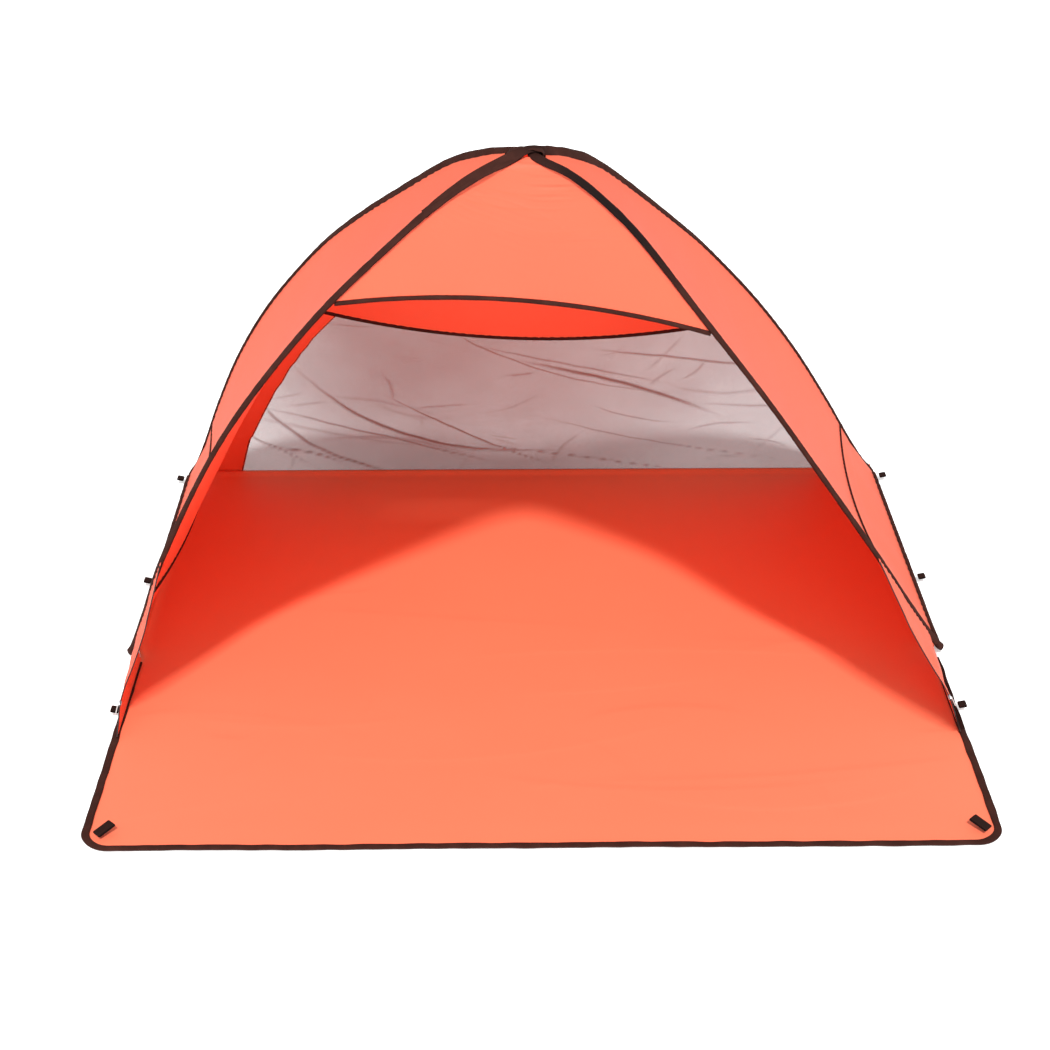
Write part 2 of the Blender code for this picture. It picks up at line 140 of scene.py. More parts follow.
# The light and the view
SUN_ELEVATION = math.radians(50)
SUN_STRENGTH = 3.4
SUN_ANGLE = math.radians(5.5)
AMBIENT_STRENGTH = 0.66
STUDIO_GLOW = 0.35
WHITE = (1.0, 1.0, 1.0, 1.0)
LAMP_SIZE = 0.8
LAMP_POWER = 2.9
LAMP_COLOUR = (1.0, 0.34, 0.02)
LAMP_AT = (-0.02, ARCH_Y + 0.46, 0.72)
SENSOR_WIDTH = 36.0
LENS = 66.02
CAMERA_AT = (-0.0645, -3.558, 2.174)
CAMERA_TURN = math.radians(-0.628)
CAMERA_PITCH = math.radians(90 - 28.35)


# ---------------------------------------------------------------- paths

def catmull(points, per_span):
    """Points along the smooth curve through the given ones, which it keeps."""
    path = []
    last = len(points) - 1
    for i in range(last):
        p0, p1 = points[max(i - 1, 0)], points[i]
        p2, p3 = points[i + 1], points[min(i + 2, last)]
        for step in range(per_span):
            t = step / per_span
            bend = (2 * p0 - 5 * p1 + 4 * p2 - p3) * t**2 + (3 * p1 - 3 * p2 + p3 - p0) * t**3
            path.append(0.5 * (2 * p1 + (p2 - p0) * t + bend))
    return path + [points[last]]


def resample(points, count):
    """The same path as count equal steps."""
    route = np.array([tuple(p) for p in points])
    lengths = np.concatenate([[0.0], np.cumsum(np.linalg.norm(np.diff(route, axis=0), axis=1))])
    at = np.linspace(0.0, lengths[-1], count + 1)
    return [Vector(p) for p in np.stack([np.interp(at, lengths, route[:, k]) for k in range(3)], axis=1)]


def lean_at(z, behind=0.0):
    front = FRONT_LEAN * math.sin(math.pi * min(z / FRONT_LEAN_TOP, 1.0))
    front *= max(1 - behind / FRONT_LEAN_DEPTH, 0.0)
    if z < LEAN_HEIGHT:
        return front + LEAN * math.sin(math.pi / 2 * z / LEAN_HEIGHT)
    share = (z - LEAN_HEIGHT) / (CROWN_TURN[1][2] - LEAN_HEIGHT)
    return front + LEAN * (1 - (1 - CROWN_LEAN) * min(share, 1.0))


def place(side, point):
    x, behind, z = point
    return Vector((side * x + lean_at(z, behind), ARCH_Y + behind, z))


def section(side, points):
    return [place(side, point) for point in points]


def side_name(side):
    return "right" if side > 0 else "left"


def rib_path(side, rib, turn):
    """A rib in even steps, from its hoop's tip down."""
    tip = catmull(section(side, [CROWN_TURN[1], turn, rib[0], rib[1]]), PER_SPAN)[: 2 * PER_SPAN + 1]
    down = resample(catmull(section(side, rib), PER_SPAN), RIB_STEPS)
    return resample(tip, round(CROWN_ROWS * ROW_STEPS))[:-1] + down


class Hoop:
    """One hoop's wire as a closed path, and its two ribs in even steps, each up to the hoop's tip."""

    def __init__(self, side):
        self.front_rows = rib_path(side, FRONT_RIB, CROWN_TURN[0])
        self.back_rows = rib_path(side, BACK_RIB, CROWN_TURN[2])
        loop = section(
            side,
            CROWN_TURN[1:2] + CROWN_TURN[:1] + FRONT_RIB + GROUND_TURN_FRONT[::-1] + GROUND_RUN[::-1]
            + GROUND_TURN_BACK[::-1] + BACK_RIB[::-1] + CROWN_TURN[:0:-1],
        )
        closed = catmull(loop[-3:-1] + loop + loop[1:3], PER_SPAN)
        path = closed[2 * PER_SPAN : len(closed) - 2 * PER_SPAN]
        front_end = (1 + len(FRONT_RIB) + 1) * PER_SPAN
        ground_end = front_end + (len(GROUND_RUN) + 3) * PER_SPAN
        self.front = path[: front_end + 1]
        self.ground = path[front_end : ground_end + 1]
        self.back = path[ground_end:]


HOOPS = {side: Hoop(side) for side in (-1, 1)}


def on_rib(rows, u):
    at = (u + CROWN_ROWS) * ROW_STEPS
    i = min(int(at), len(rows) - 2)
    return rows[i].lerp(rows[i + 1], at - i), rows[i + 1] - rows[i]


def sine_between(a, b):
    return max(a.normalized().cross(b.normalized()).length, 0.25)


def chord_row(start, end, columns, inset_a, inset_b, sag, inward):
    chord = end - start
    row = []
    for c in range(columns + 1):
        t = (inset_a + (chord.length - inset_a - inset_b) * c / columns) / chord.length
        row.append(start + chord * t + inward * (sag * 4 * t * (1 - t)))
    return row


def rib_rows(edge_a, edge_b, first, last, columns, sag_at, towards, skew=0.0, skew_top=0.0):
    """A sheet's rows between two ribs, on the second lower by skew_top at the top and by skew at the foot."""
    rows = []
    steps = max(round((last - first) * 2), 1)
    for k in range(steps + 1):
        u = first + (last - first) * k / steps
        a, along_a = on_rib(edge_a, u)
        b, along_b = on_rib(edge_b, u + skew_top + (skew - skew_top) * k / steps)
        normal = (b - a).cross(along_a + along_b).normalized()
        inward = normal if normal.dot(towards - a) > 0 else -normal
        most = 0.2 * (b - a).length
        clear_a = min(EDGE_INSET / sine_between(b - a, along_a), most)
        clear_b = min(EDGE_INSET / sine_between(b - a, along_b), most)
        rows.append(chord_row(a, b, columns, clear_a, clear_b, sag_at(u / RIB_ROWS), inward))
    return rows


# ---------------------------------------------------------------- sheets of cloth

def spline_weights(count, steps):
    """The weights that turn count points into steps + 1 points of the smooth curve through them."""
    weights = np.zeros((steps + 1, count))
    for k in range(steps + 1):
        at = (count - 1) * k / steps
        i = min(int(at), count - 2)
        t = at - i
        shares = (
            -0.5 * t + t**2 - 0.5 * t**3,
            1 - 2.5 * t**2 + 1.5 * t**3,
            0.5 * t + 2 * t**2 - 1.5 * t**3,
            -0.5 * t**2 + 0.5 * t**3,
        )
        for offset, share in zip((-1, 0, 1, 2), shares):
            weights[k, min(max(i + offset, 0), count - 1)] += share
    return weights


def refine(rows, down, across):
    """A coarse grid of points as a fine one on the same smooth surface."""
    coarse = np.array([[tuple(p) for p in row] for row in rows])
    return np.einsum("ri,ijk,cj->rck", spline_weights(len(rows), down), coarse,
                     spline_weights(len(rows[0]), across))


class Cut:
    """A sheet's grid of points, with each one's place on the flat cloth in metres and its outer normal."""

    def __init__(self, grid, outward=None):
        self.grid = grid
        widths = np.linalg.norm(np.diff(grid, axis=1), axis=2).sum(axis=1)
        middle = grid[:, grid.shape[1] // 2]
        lengths = np.linalg.norm(np.diff(middle, axis=0), axis=1)
        share = np.linspace(-0.5, 0.5, grid.shape[1])
        self.u = widths[:, None] * share
        self.v = np.repeat(np.concatenate([[0.0], np.cumsum(lengths)])[:, None], grid.shape[1], axis=1)
        self.width = widths.max()
        self.length = self.v.max()
        self.to_side = widths[:, None] * (0.5 - np.abs(share))
        self.to_top = self.v
        self.to_foot = self.length - self.v
        self.to_edge = np.minimum(self.to_side, np.minimum(self.to_top, self.to_foot))
        du, dv = np.gradient(grid, axis=1), np.gradient(grid, axis=0)
        normal = np.cross(du, dv)
        normal /= np.linalg.norm(normal, axis=2, keepdims=True) + 1e-12
        away = np.array(outward) if outward is not None else grid - np.array(CORE)
        sign = np.sign((normal * away).sum(axis=2).mean())
        self.normal = normal * sign
        self.flip = sign < 0
        cells = np.linalg.norm(np.cross(du, dv), axis=2)
        self.area = cells[:-1, :-1].sum() * 0.25 + cells[1:, 1:].sum() * 0.25
        self.area += cells[:-1, 1:].sum() * 0.25 + cells[1:, :-1].sum() * 0.25

    def waves(self, size, seed):
        return ripples(self.u, self.v, size, seed)

    def flat(self):
        return (self.width + 2 * SEAM_ALLOWANCE, self.length + 2 * SEAM_ALLOWANCE)

    def flat_area(self):
        return self.area + 2 * SEAM_ALLOWANCE * (0.5 * self.width + self.length)


def ripples(u, v, size, seed, count=6):
    """Soft random waves of about the given size, from -1 to 1."""
    rng = np.random.default_rng(seed)
    total = np.zeros_like(u)
    for _ in range(count):
        heading = rng.uniform(0, math.pi)
        rate = 2 * math.pi / (size * rng.uniform(0.7, 1.5))
        total += np.sin((u * math.cos(heading) + v * math.sin(heading)) * rate + rng.uniform(0, 6.28))
    return total / count


def creases(cut, count, seed, heading, spread, length, sharp, v_range=(0.0, 1.0)):
    """Fold marks: the height of short random ridges, whose headings are spread about one, and the strength of
    the painted shade along each.
    """
    rng = np.random.default_rng(seed)
    height = np.zeros_like(cut.u)
    mark = np.zeros_like(cut.u)
    for _ in range(count):
        u0 = rng.uniform(-0.5, 0.5) * cut.width
        v0 = rng.uniform(*v_range) * cut.length
        turn = heading + spread * rng.normal()
        reach = length * rng.uniform(0.45, 1.6)
        bow = rng.uniform(-0.25, 0.25) / reach
        thick = sharp * rng.uniform(0.7, 1.8)
        along = (cut.u - u0) * math.cos(turn) + (cut.v - v0) * math.sin(turn)
        off = (cut.v - v0) * math.cos(turn) - (cut.u - u0) * math.sin(turn) + bow * along**2
        ends = np.exp(-((along / reach) ** 4))
        tilt = np.tanh(off / (thick * 2.5)) * np.exp(-np.abs(off) / (thick * 9))
        ridge = np.exp(-np.abs(off) / thick)
        strength = rng.uniform(0.35, 1.0)
        height += strength * ends * (ridge + 0.8 * rng.choice((-1, 1)) * tilt)
        mark = np.maximum(mark, strength * ends * np.exp(-((off / thick) ** 2)))
    return height, mark


def fade(distance, reach):
    share = np.clip(distance / reach, 0, 1)
    return share * share * (3 - 2 * share)


def puckers(cut, distance, along, size, seed):
    """The small gathers that a seam draws into the cloth beside it."""
    wave = np.sin(2 * math.pi * along / size + 2.5 * cut.waves(size * 4, seed))
    return wave * np.exp(-distance / (size * 0.9)) * (0.5 + 0.5 * cut.waves(size * 7, seed + 1))


def assign(piece, slot, body, *nodes):
    """Hides the CAD nodes that a piece replaces and sets it on the body that it rides; its slot, what it is
    made of, is not used.
    """
    if nodes:
        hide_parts(*nodes)
    if body is not None:
        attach(piece, body)


def add_piece(name, verts, faces, material, uv=None, marks=None):
    mesh = bpy.data.meshes.new(name)
    mesh.from_pydata(np.asarray(verts).reshape(-1, 3).tolist(), [], [list(f) for f in faces])
    mesh.shade_smooth()
    if uv is not None:
        layer = mesh.uv_layers.new(name="Cut")
        corner = np.empty(len(mesh.loops), np.int32)
        mesh.loops.foreach_get("vertex_index", corner)
        layer.data.foreach_set("uv", np.asarray(uv, np.float32)[corner].reshape(-1))
    if marks is not None:
        attribute = mesh.attributes.new("crease", "FLOAT", "POINT")
        attribute.data.foreach_set("value", np.asarray(marks, np.float32).reshape(-1))
    mesh.materials.append(material)
    obj = bpy.data.objects.new(name, mesh)
    bpy.context.scene.collection.objects.link(obj)
    return obj


def sheet_piece(name, cut, material, relief, mark=None, thick=CLOTH_THICK):
    """The sheet with its relief, as a thin closed shell."""
    rows, columns = cut.u.shape
    middle = cut.grid + cut.normal * relief[..., None]
    du, dv = np.gradient(middle, axis=1), np.gradient(middle, axis=0)
    normal = np.cross(du, dv) * (-1 if cut.flip else 1)
    normal /= np.linalg.norm(normal, axis=2, keepdims=True) + 1e-12
    outer, inner = middle + normal * thick / 2, middle - normal * thick / 2
    index = np.arange(rows * columns).reshape(rows, columns)
    quads = np.stack([index[:-1, :-1], index[:-1, 1:], index[1:, 1:], index[1:, :-1]], axis=-1)
    quads = quads.reshape(-1, 4)
    rim = np.concatenate([index[0, :], index[1:, -1], index[-1, -2::-1], index[-2:0:-1, 0]])
    after = np.roll(rim, -1)
    total = rows * columns
    walls = np.stack([rim, rim + total, after + total, after], axis=-1)
    faces = np.concatenate([quads, quads[:, ::-1] + total, walls])
    if cut.flip:
        faces = faces[:, ::-1]
    uv = np.stack([cut.u.reshape(-1), cut.v.reshape(-1)], axis=1)
    marks = np.zeros(total) if mark is None else mark.reshape(-1)
    return add_piece(name, np.concatenate([outer.reshape(-1, 3), inner.reshape(-1, 3)]), faces, material,
                     np.concatenate([uv, uv]), np.concatenate([marks, marks]))


# ---------------------------------------------------------------- tapes

class Route:
    """A path in even steps, with its directions, and at each point the normal that its outer face has."""

    def __init__(self, points, step=0.004, face=None, closed=False):
        total = sum((b - a).length for a, b in zip(points, points[1:]))
        count = max(int(total / step), 8)
        self.at = np.array([tuple(p) for p in resample(points, count)])
        self.length = total
        self.along = np.linspace(0.0, total, count + 1)
        tangent = np.gradient(self.at, axis=0)
        if closed:
            tangent[0] = tangent[-1] = self.at[1] - self.at[-2]
        self.tangent = tangent / np.linalg.norm(tangent, axis=1, keepdims=True)
        self.aim(self.at - np.array(CORE) if face is None else np.array(face, float))

    def aim(self, away):
        """Turns the faces towards a direction, as far as the path allows."""
        away = away - (away * self.tangent).sum(axis=1, keepdims=True) * self.tangent
        self.normal = away / np.linalg.norm(away, axis=1, keepdims=True)
        self.side = np.cross(self.tangent, self.normal)

    def aim_by(self, direction, share):
        """Turns the faces towards a direction, by a share for each point."""
        self.aim(self.normal * (1 - share)[:, None] + np.array(direction) * share[:, None])

    def turn(self, angle):
        """Turns the faces round the path by an angle for each point."""
        cosine, sine = np.cos(angle)[:, None], np.sin(angle)[:, None]
        self.normal, self.side = (
            self.normal * cosine + self.side * sine,
            self.side * cosine - self.normal * sine,
        )

    def ring(self, across, centre):
        """Turns a closed route's faces away from its centre, and drops the point that it has twice."""
        self.side = np.repeat(np.array(across)[None], len(self.at), axis=0)
        self.normal = np.cross(self.side, self.tangent)
        if (self.normal * (self.at - np.array(centre))).sum() < 0:
            self.side, self.normal = -self.side, -self.normal
        for field in ("at", "along", "tangent", "normal", "side"):
            setattr(self, field, getattr(self, field)[:-1])

    def spot(self, at):
        """The point at a distance along the route, with the tangent, the normal and the side there."""
        i = min(int(np.searchsorted(self.along, at)), len(self.at) - 1)
        centre = np.array([np.interp(at, self.along, self.at[:, a]) for a in range(3)])
        return centre, self.tangent[i], self.normal[i], self.side[i]

    def wave(self, size, seed):
        return ripples(self.along, np.zeros_like(self.along), size, seed, 4)


def tape_piece(name, route, half_width, half_thick, material, sides=14, closed=False, square=0.72,
               marks=None):
    """A flattened tube along a route: cloth tape folded over what it holds."""
    count = len(route.at)
    width = np.broadcast_to(half_width, (count,))[:, None, None]
    thick = np.broadcast_to(half_thick, (count,))[:, None, None]
    angle = np.linspace(0, 2 * math.pi, sides, endpoint=False)
    across = (np.sign(np.cos(angle)) * np.abs(np.cos(angle)) ** square)[None, :, None]
    up = (np.sign(np.sin(angle)) * np.abs(np.sin(angle)) ** 0.85)[None, :, None]
    verts = route.at[:, None] + route.side[:, None] * across * width + route.normal[:, None] * up * thick
    ring = np.arange(count * sides).reshape(count, sides)
    first, second = (ring, np.roll(ring, -1, axis=0)) if closed else (ring[:-1], ring[1:])
    faces = np.stack([first, second, np.roll(second, -1, axis=1), np.roll(first, -1, axis=1)], axis=-1)
    faces = faces.reshape(-1, 4).tolist()
    if not closed:
        faces += [ring[0].tolist(), ring[-1, ::-1].tolist()]
    spread = np.arange(1, sides + 1) / sides * 4 * np.mean(half_width)
    uv = np.stack([np.repeat(route.along, sides), np.tile(spread, count)], axis=1)
    marks = None if marks is None else np.repeat(marks, sides)
    return add_piece(name, verts, faces, material, uv, marks)


def trim(name, route, half_width, half_thick, node, body="shelter", sides=14, marks=None):
    """A brown tape that replaces its CAD node."""
    tape = tape_piece(name, route, half_width, half_thick, TAPE, sides, marks=marks)
    assign(tape, "brown_tape", body, node)


def sew(name, route, offsets, lift, body="shelter"):
    """Rows of stitches along a route, each offset to the side of it and lifted off its face."""
    verts, faces = [], []
    lift = np.broadcast_to(lift, route.along.shape)
    for offset in offsets:
        offset = np.broadcast_to(offset, route.along.shape)
        for k in range(2, int(route.length / STITCH_STEP) - 1):
            at = (k + 0.5) * STITCH_STEP
            centre, t, n, s = route.spot(at)
            centre = centre + s * np.interp(at, route.along, offset) + n * np.interp(at, route.along, lift)
            base = len(verts)
            long, thin = t * STITCH_LONG / 2, STITCH_RADIUS
            verts += [centre - long, centre + s * thin, centre + n * thin, centre - s * thin,
                      centre - n * thin, centre + long]
            for a, b in ((1, 2), (2, 3), (3, 4), (4, 1)):
                faces.append((base, base + b, base + a))
                faces.append((base + 5, base + a, base + b))
    assign(add_piece(name, np.array(verts), faces, THREAD), "brown_tape", body)


# ---------------------------------------------------------------- materials

class Shader:
    """A material's node tree, with short ways to add nodes to it."""

    def __init__(self, name):
        self.material = bpy.data.materials.new(name)
        self.material.use_nodes = True
        self.tree = self.material.node_tree
        self.surface = self.tree.nodes["Principled BSDF"]
        self.output = self.tree.nodes["Material Output"]

    def feed(self, socket, value):
        """Links a node's output to the socket, or sets the socket's constant."""
        if isinstance(value, bpy.types.NodeSocket):
            self.tree.links.new(value, socket)
        else:
            socket.default_value = value

    def set(self, node, **values):
        for key, value in values.items():
            self.feed(node.inputs[key.replace("_", " ")], value)
        return node

    def add(self, kind, settings=None, **values):
        node = self.tree.nodes.new(kind)
        for key, value in (settings or {}).items():
            setattr(node, key, value)
        return self.set(node, **values)

    def math(self, operation, a, b=0.0, clamp=False):
        node = self.add("ShaderNodeMath", {"operation": operation, "use_clamp": clamp})
        self.feed(node.inputs[0], a)
        self.feed(node.inputs[1], b)
        return node.outputs[0]

    def sum_of(self, *shares, plus=0.0, clamp=False):
        """Each value times its weight, added up, with a constant added last."""
        total = self.math("MULTIPLY", *shares[0])
        for value, weight in shares[1:]:
            total = self.math("ADD", total, self.math("MULTIPLY", value, weight))
        return self.math("ADD", total, plus, clamp)

    def cut_place(self):
        """Where a point lies on the flat cloth, in metres."""
        return self.add("ShaderNodeUVMap", {"uv_map": "Cut"}).outputs[0]

    def object_place(self):
        return self.add("ShaderNodeTexCoord").outputs["Object"]

    def marks(self):
        return self.add("ShaderNodeAttribute", {"attribute_name": "crease"}).outputs["Fac"]

    def scaled(self, vector, scale):
        node = self.add("ShaderNodeMapping", {}, Vector=vector, Scale=scale)
        return node.outputs[0]

    def noise(self, vector, scale, detail=3.0, roughness=0.55):
        node = self.add("ShaderNodeTexNoise", {}, Vector=vector, Scale=scale, Detail=detail,
                        Roughness=roughness)
        return node.outputs["Fac"]

    def bands(self, vector, period, direction, distortion=0.0):
        node = self.add("ShaderNodeTexWave", {"bands_direction": direction}, Vector=vector,
                        Scale=0.3142 / period, Distortion=distortion)
        return node.outputs["Fac"]

    def mixed(self, fac, a, b):
        node = self.add("ShaderNodeMix", {"data_type": "RGBA"})
        for index, value in ((0, fac), (6, a), (7, b)):
            self.feed(node.inputs[index], value)
        return node.outputs[2]

    def bump(self, height, distance, strength=1.0):
        node = self.add("ShaderNodeBump", {}, Height=height, Distance=distance, Strength=strength)
        return node.outputs[0]

    def mix_surfaces(self, fac, first, second):
        """Makes two shaders, mixed, the material's surface."""
        mix = self.add("ShaderNodeMixShader", {}, Fac=fac)
        self.tree.links.new(first.outputs[0], mix.inputs[1])
        self.tree.links.new(second.outputs[0], mix.inputs[2])
        self.tree.links.new(mix.outputs[0], self.output.inputs["Surface"])


def weave_of(shader, cut_place, pitch):
    """A plain weave's height: warp and weft threads of the given pitch."""
    warp = shader.bands(cut_place, pitch, "X")
    weft = shader.bands(cut_place, pitch, "Y")
    return shader.math("MULTIPLY", shader.math("ADD", warp, weft), 0.5)


def cloth_material(name, lit, deep, roughness, through):
    """Coated polyester: a fine weave, faint clouding, painted shade along the fold marks and some light let
    through.
    """
    s = Shader(name)
    cut_place = s.cut_place()
    weave = weave_of(s, cut_place, WEAVE_PITCH)
    cloud = s.noise(cut_place, 4.0, 4.0)
    fleck = s.noise(s.scaled(cut_place, (1.0, 6.0, 1.0)), 160.0, 2.0)
    # The crease marks push the colour towards deep: painted shade along the folds.
    tone = s.sum_of((cloud, 0.30), (fleck, 0.16), (weave, 0.10), (s.marks(), 0.42), clamp=True)
    normal = s.bump(s.sum_of((weave, 0.55), (fleck, 0.45)), 0.00018, 0.5)
    s.set(
        s.surface,
        Base_Color=s.mixed(tone, (*lit, 1.0), (*deep, 1.0)),
        Roughness=s.sum_of((fleck, 0.16), plus=roughness - 0.08),
        Normal=normal,
    )
    s.surface.inputs["Sheen Weight"].default_value = 0.02
    s.surface.inputs["Sheen Roughness"].default_value = 0.45
    s.surface.inputs["Specular IOR Level"].default_value = 0.3
    glow = s.add("ShaderNodeBsdfTranslucent", {}, Color=GLOW, Normal=normal)
    s.mix_surfaces(through, s.surface, glow)
    return s.material


def tape_material(name, dark, light, rib, roughness=0.78):
    """Woven tape: crosswise ribs, a lengthwise grain, worn, paler threads, and black where marked."""
    s = Shader(name)
    cut_place = s.cut_place()
    ribs = s.bands(cut_place, rib, "X", 0.6)
    grain = s.noise(s.scaled(cut_place, (12.0, 160.0, 1.0)), 6.0, 3.0)
    cloud = s.noise(cut_place, 28.0, 4.0)
    tone = s.sum_of((ribs, 0.22), (grain, 0.28), (s.math("POWER", cloud, 2.2), 0.9), clamp=True)
    brown = s.mixed(tone, (*dark, 1.0), (*light, 1.0))
    s.set(
        s.surface,
        Base_Color=s.mixed(s.marks(), brown, BLACK),
        Roughness=s.sum_of((grain, 0.2), plus=roughness - 0.1),
        Normal=s.bump(s.sum_of((ribs, 0.6), (grain, 0.5)), 0.00035, 0.7),
    )
    s.surface.inputs["Specular IOR Level"].default_value = 0.06
    return s.material


def mesh_material(name, colour, dark, open_share):
    """See-through netting: its holes are too fine to see apart, and its folds are denser, with painted shade
    darkening the threads there.
    """
    s = Shader(name)
    cut_place = s.cut_place()
    net = weave_of(s, cut_place, MESH_PITCH)
    cloud = s.noise(cut_place, 3.0, 4.0)
    fleck = s.noise(s.scaled(cut_place, (1.0, 3.0, 1.0)), 130.0, 2.0)
    crease = s.marks()
    # Along the creases the threads turn darker: painted shade in the folds.
    thread = s.mixed(crease, (*colour, 1.0), (*dark, 1.0))
    cover = s.sum_of((cloud, 0.16), (net, 0.08), (fleck, 0.08), (crease, 0.55),
                     plus=1 - open_share - 0.16, clamp=True)
    s.set(s.surface, Base_Color=thread, Alpha=cover, Normal=s.bump(net, 0.0004, 0.6))
    s.surface.inputs["Roughness"].default_value = 0.85
    s.surface.inputs["Specular IOR Level"].default_value = 0.2
    return s.material


def metal_material(name, colour, roughness):
    s = Shader(name)
    place_at = s.object_place()
    draw = s.noise(s.scaled(place_at, (1.0, 1.0, 8.0)), 240.0, 3.0)
    spots = s.noise(place_at, 40.0, 4.0)
    tone = s.math("MULTIPLY", s.math("POWER", spots, 2.5), 0.8)
    s.set(
        s.surface,
        Base_Color=s.mixed(tone, (*colour, 1.0), tuple(0.45 * c for c in colour) + (1.0,)),
        Roughness=s.sum_of((draw, 0.25), plus=roughness - 0.1),
        Normal=s.bump(draw, 0.0001, 0.4),
    )
    s.surface.inputs["Metallic"].default_value = 1.0
    return s.material


def plastic_material(name, colour, pale):
    s = Shader(name)
    place_at = s.object_place()
    grain = s.noise(place_at, 700.0, 2.0)
    wear = s.noise(place_at, 60.0, 4.0)
    s.set(
        s.surface,
        Base_Color=s.mixed(s.math("POWER", wear, 2.0), (*colour, 1.0), (*pale, 1.0)),
        Roughness=s.sum_of((grain, 0.2), plus=0.35),
        Normal=s.bump(grain, 0.0001, 0.3),
    )
    return s.material


GLOW = (0.98, 0.155, 0.025, 1.0)  # the light that comes through the cloth
BLACK = (0.007, 0.006, 0.006, 1.0)
ORANGE = cloth_material("orange_cloth_look", (0.98, 0.262, 0.148), (0.94, 0.205, 0.104), 0.58, 0.44)
FLOOR_CLOTH = cloth_material("floor_cloth_look", (0.98, 0.205, 0.108), (0.92, 0.165, 0.080), 0.60, 0.05)
TAPE = tape_material("brown_tape_look", (0.018, 0.0055, 0.0040), (0.075, 0.026, 0.019), 0.0016)
WEBBING = tape_material("webbing_look", (0.010, 0.005, 0.004), (0.034, 0.015, 0.012), 0.0021, 0.85)
THREAD = tape_material("thread_look", (0.026, 0.011, 0.009), (0.080, 0.036, 0.028), 0.0012)
# The net's threads are dark; the reddish tint of the first colour is painted orange light, bounced onto them
# from the cloth, and the darker colour is painted shade in the folds.
NETTING = mesh_material("window_mesh_look", (0.28, 0.080, 0.040), (0.07, 0.030, 0.022), 0.355)
STEEL = metal_material("spring_steel_look", (0.56, 0.56, 0.58), 0.32)
TEETH = plastic_material("zip_teeth_look", (0.020, 0.012, 0.011), (0.070, 0.045, 0.040))
PULL = plastic_material("zip_pull_look", (0.62, 0.55, 0.53), (0.80, 0.76, 0.74))


# ---------------------------------------------------------------- the shelter's panels

def declare(piece, cut, held, rests_on, *nodes, slot="orange_cloth", body="shelter"):
    assign(piece, slot, body, *nodes)
    width, length = cut.flat()
    min(cut.flat_area(), width * length)


def back_sag(u):
    return BACK_SAG * math.sin(math.pi * u) ** 0.8 if 0 < u < 1 else 0.0


def canopy_bulge(u):
    return CANOPY_BULGE * min(max(u * RIB_ROWS + 1.0, 0.0) / 4, 1.0)


def wing_sag(u):
    return WING_SAG * math.sin(math.pi * u**2.2) ** 0.6 if 0 < u < 1 else 0.0


def crown_folds(cut, seed, size=0.015, reach=0.11):
    """Fine gathers that run round the crown, where every panel is drawn together."""
    bent = cut.v + 0.5 * np.abs(cut.u) ** 1.5 - 0.16 * cut.u + 0.006 * cut.waves(0.16, seed)
    wave = 0.6 * np.sin(2 * math.pi * bent / size) + 0.4 * np.sin(2 * math.pi * bent / (size * 0.57) + 1.3)
    patches = np.clip(0.35 + 0.9 * cut.waves(0.11, seed + 1), 0, 1)
    return wave * patches * np.exp(-((cut.v / reach) ** 2)) * fade(cut.to_side, 0.012)


def make_wings():
    for side, hoop in HOOPS.items():
        name = side_name(side)
        rests = [f"{name}_front_rib_sleeve_tape", f"{name}_back_rib_sleeve_tape"]
        rows = rib_rows(hoop.front_rows, hoop.back_rows, WING_TOP_ROW, SEAM_ROW - 0.02, 6, wing_sag, CORE)
        cut = Cut(refine(rows, 170, 96))
        inside = fade(cut.to_edge, 0.05)
        ridge, mark = creases(cut, 16, 11 + side, math.pi / 2, 0.5, 0.11, 0.004)
        relief = 0.0016 * cut.waves(0.22, 21 + side) * inside + 0.0009 * ridge * inside
        relief += 0.0011 * puckers(cut, cut.to_side, cut.v, 0.022, 31)
        relief += 0.0012 * puckers(cut, cut.to_foot, cut.u, 0.020, 41)
        relief += 0.0010 * crown_folds(cut, 51)
        # The fold marks paint shade into the wing's colour along its creases.
        wing = sheet_piece(f"{name}_wing_cloth", cut, ORANGE, relief, 0.35 * mark * inside)
        declare(wing, cut, "stretched", rests, f"{name}_wing")

        rows = rib_rows(hoop.front_rows, hoop.back_rows, SEAM_ROW + 0.02, RIB_ROWS - 1, 6, wing_sag, CORE)
        foot = [place(side, (HALF_WIDTH - 0.002, y, GROUND_RUN_Z + 0.004)) for y in (0.030, 0.838)]
        rows.append([foot[0].lerp(foot[1], c / 6) for c in range(7)])
        cut = Cut(refine(rows, 36, 120))
        relief = 0.0022 * cut.waves(0.13, 61 + side) * fade(cut.to_edge, 0.03)
        relief += 0.0012 * puckers(cut, cut.to_top, cut.u, 0.020, 71)
        relief += 0.0014 * puckers(cut, cut.to_foot, cut.u, 0.026, 81)
        skirt = sheet_piece(f"{name}_skirt_cloth", cut, ORANGE, relief)
        declare(skirt, cut, "hung", [f"{name}_wing_cloth"], f"{name}_skirt")


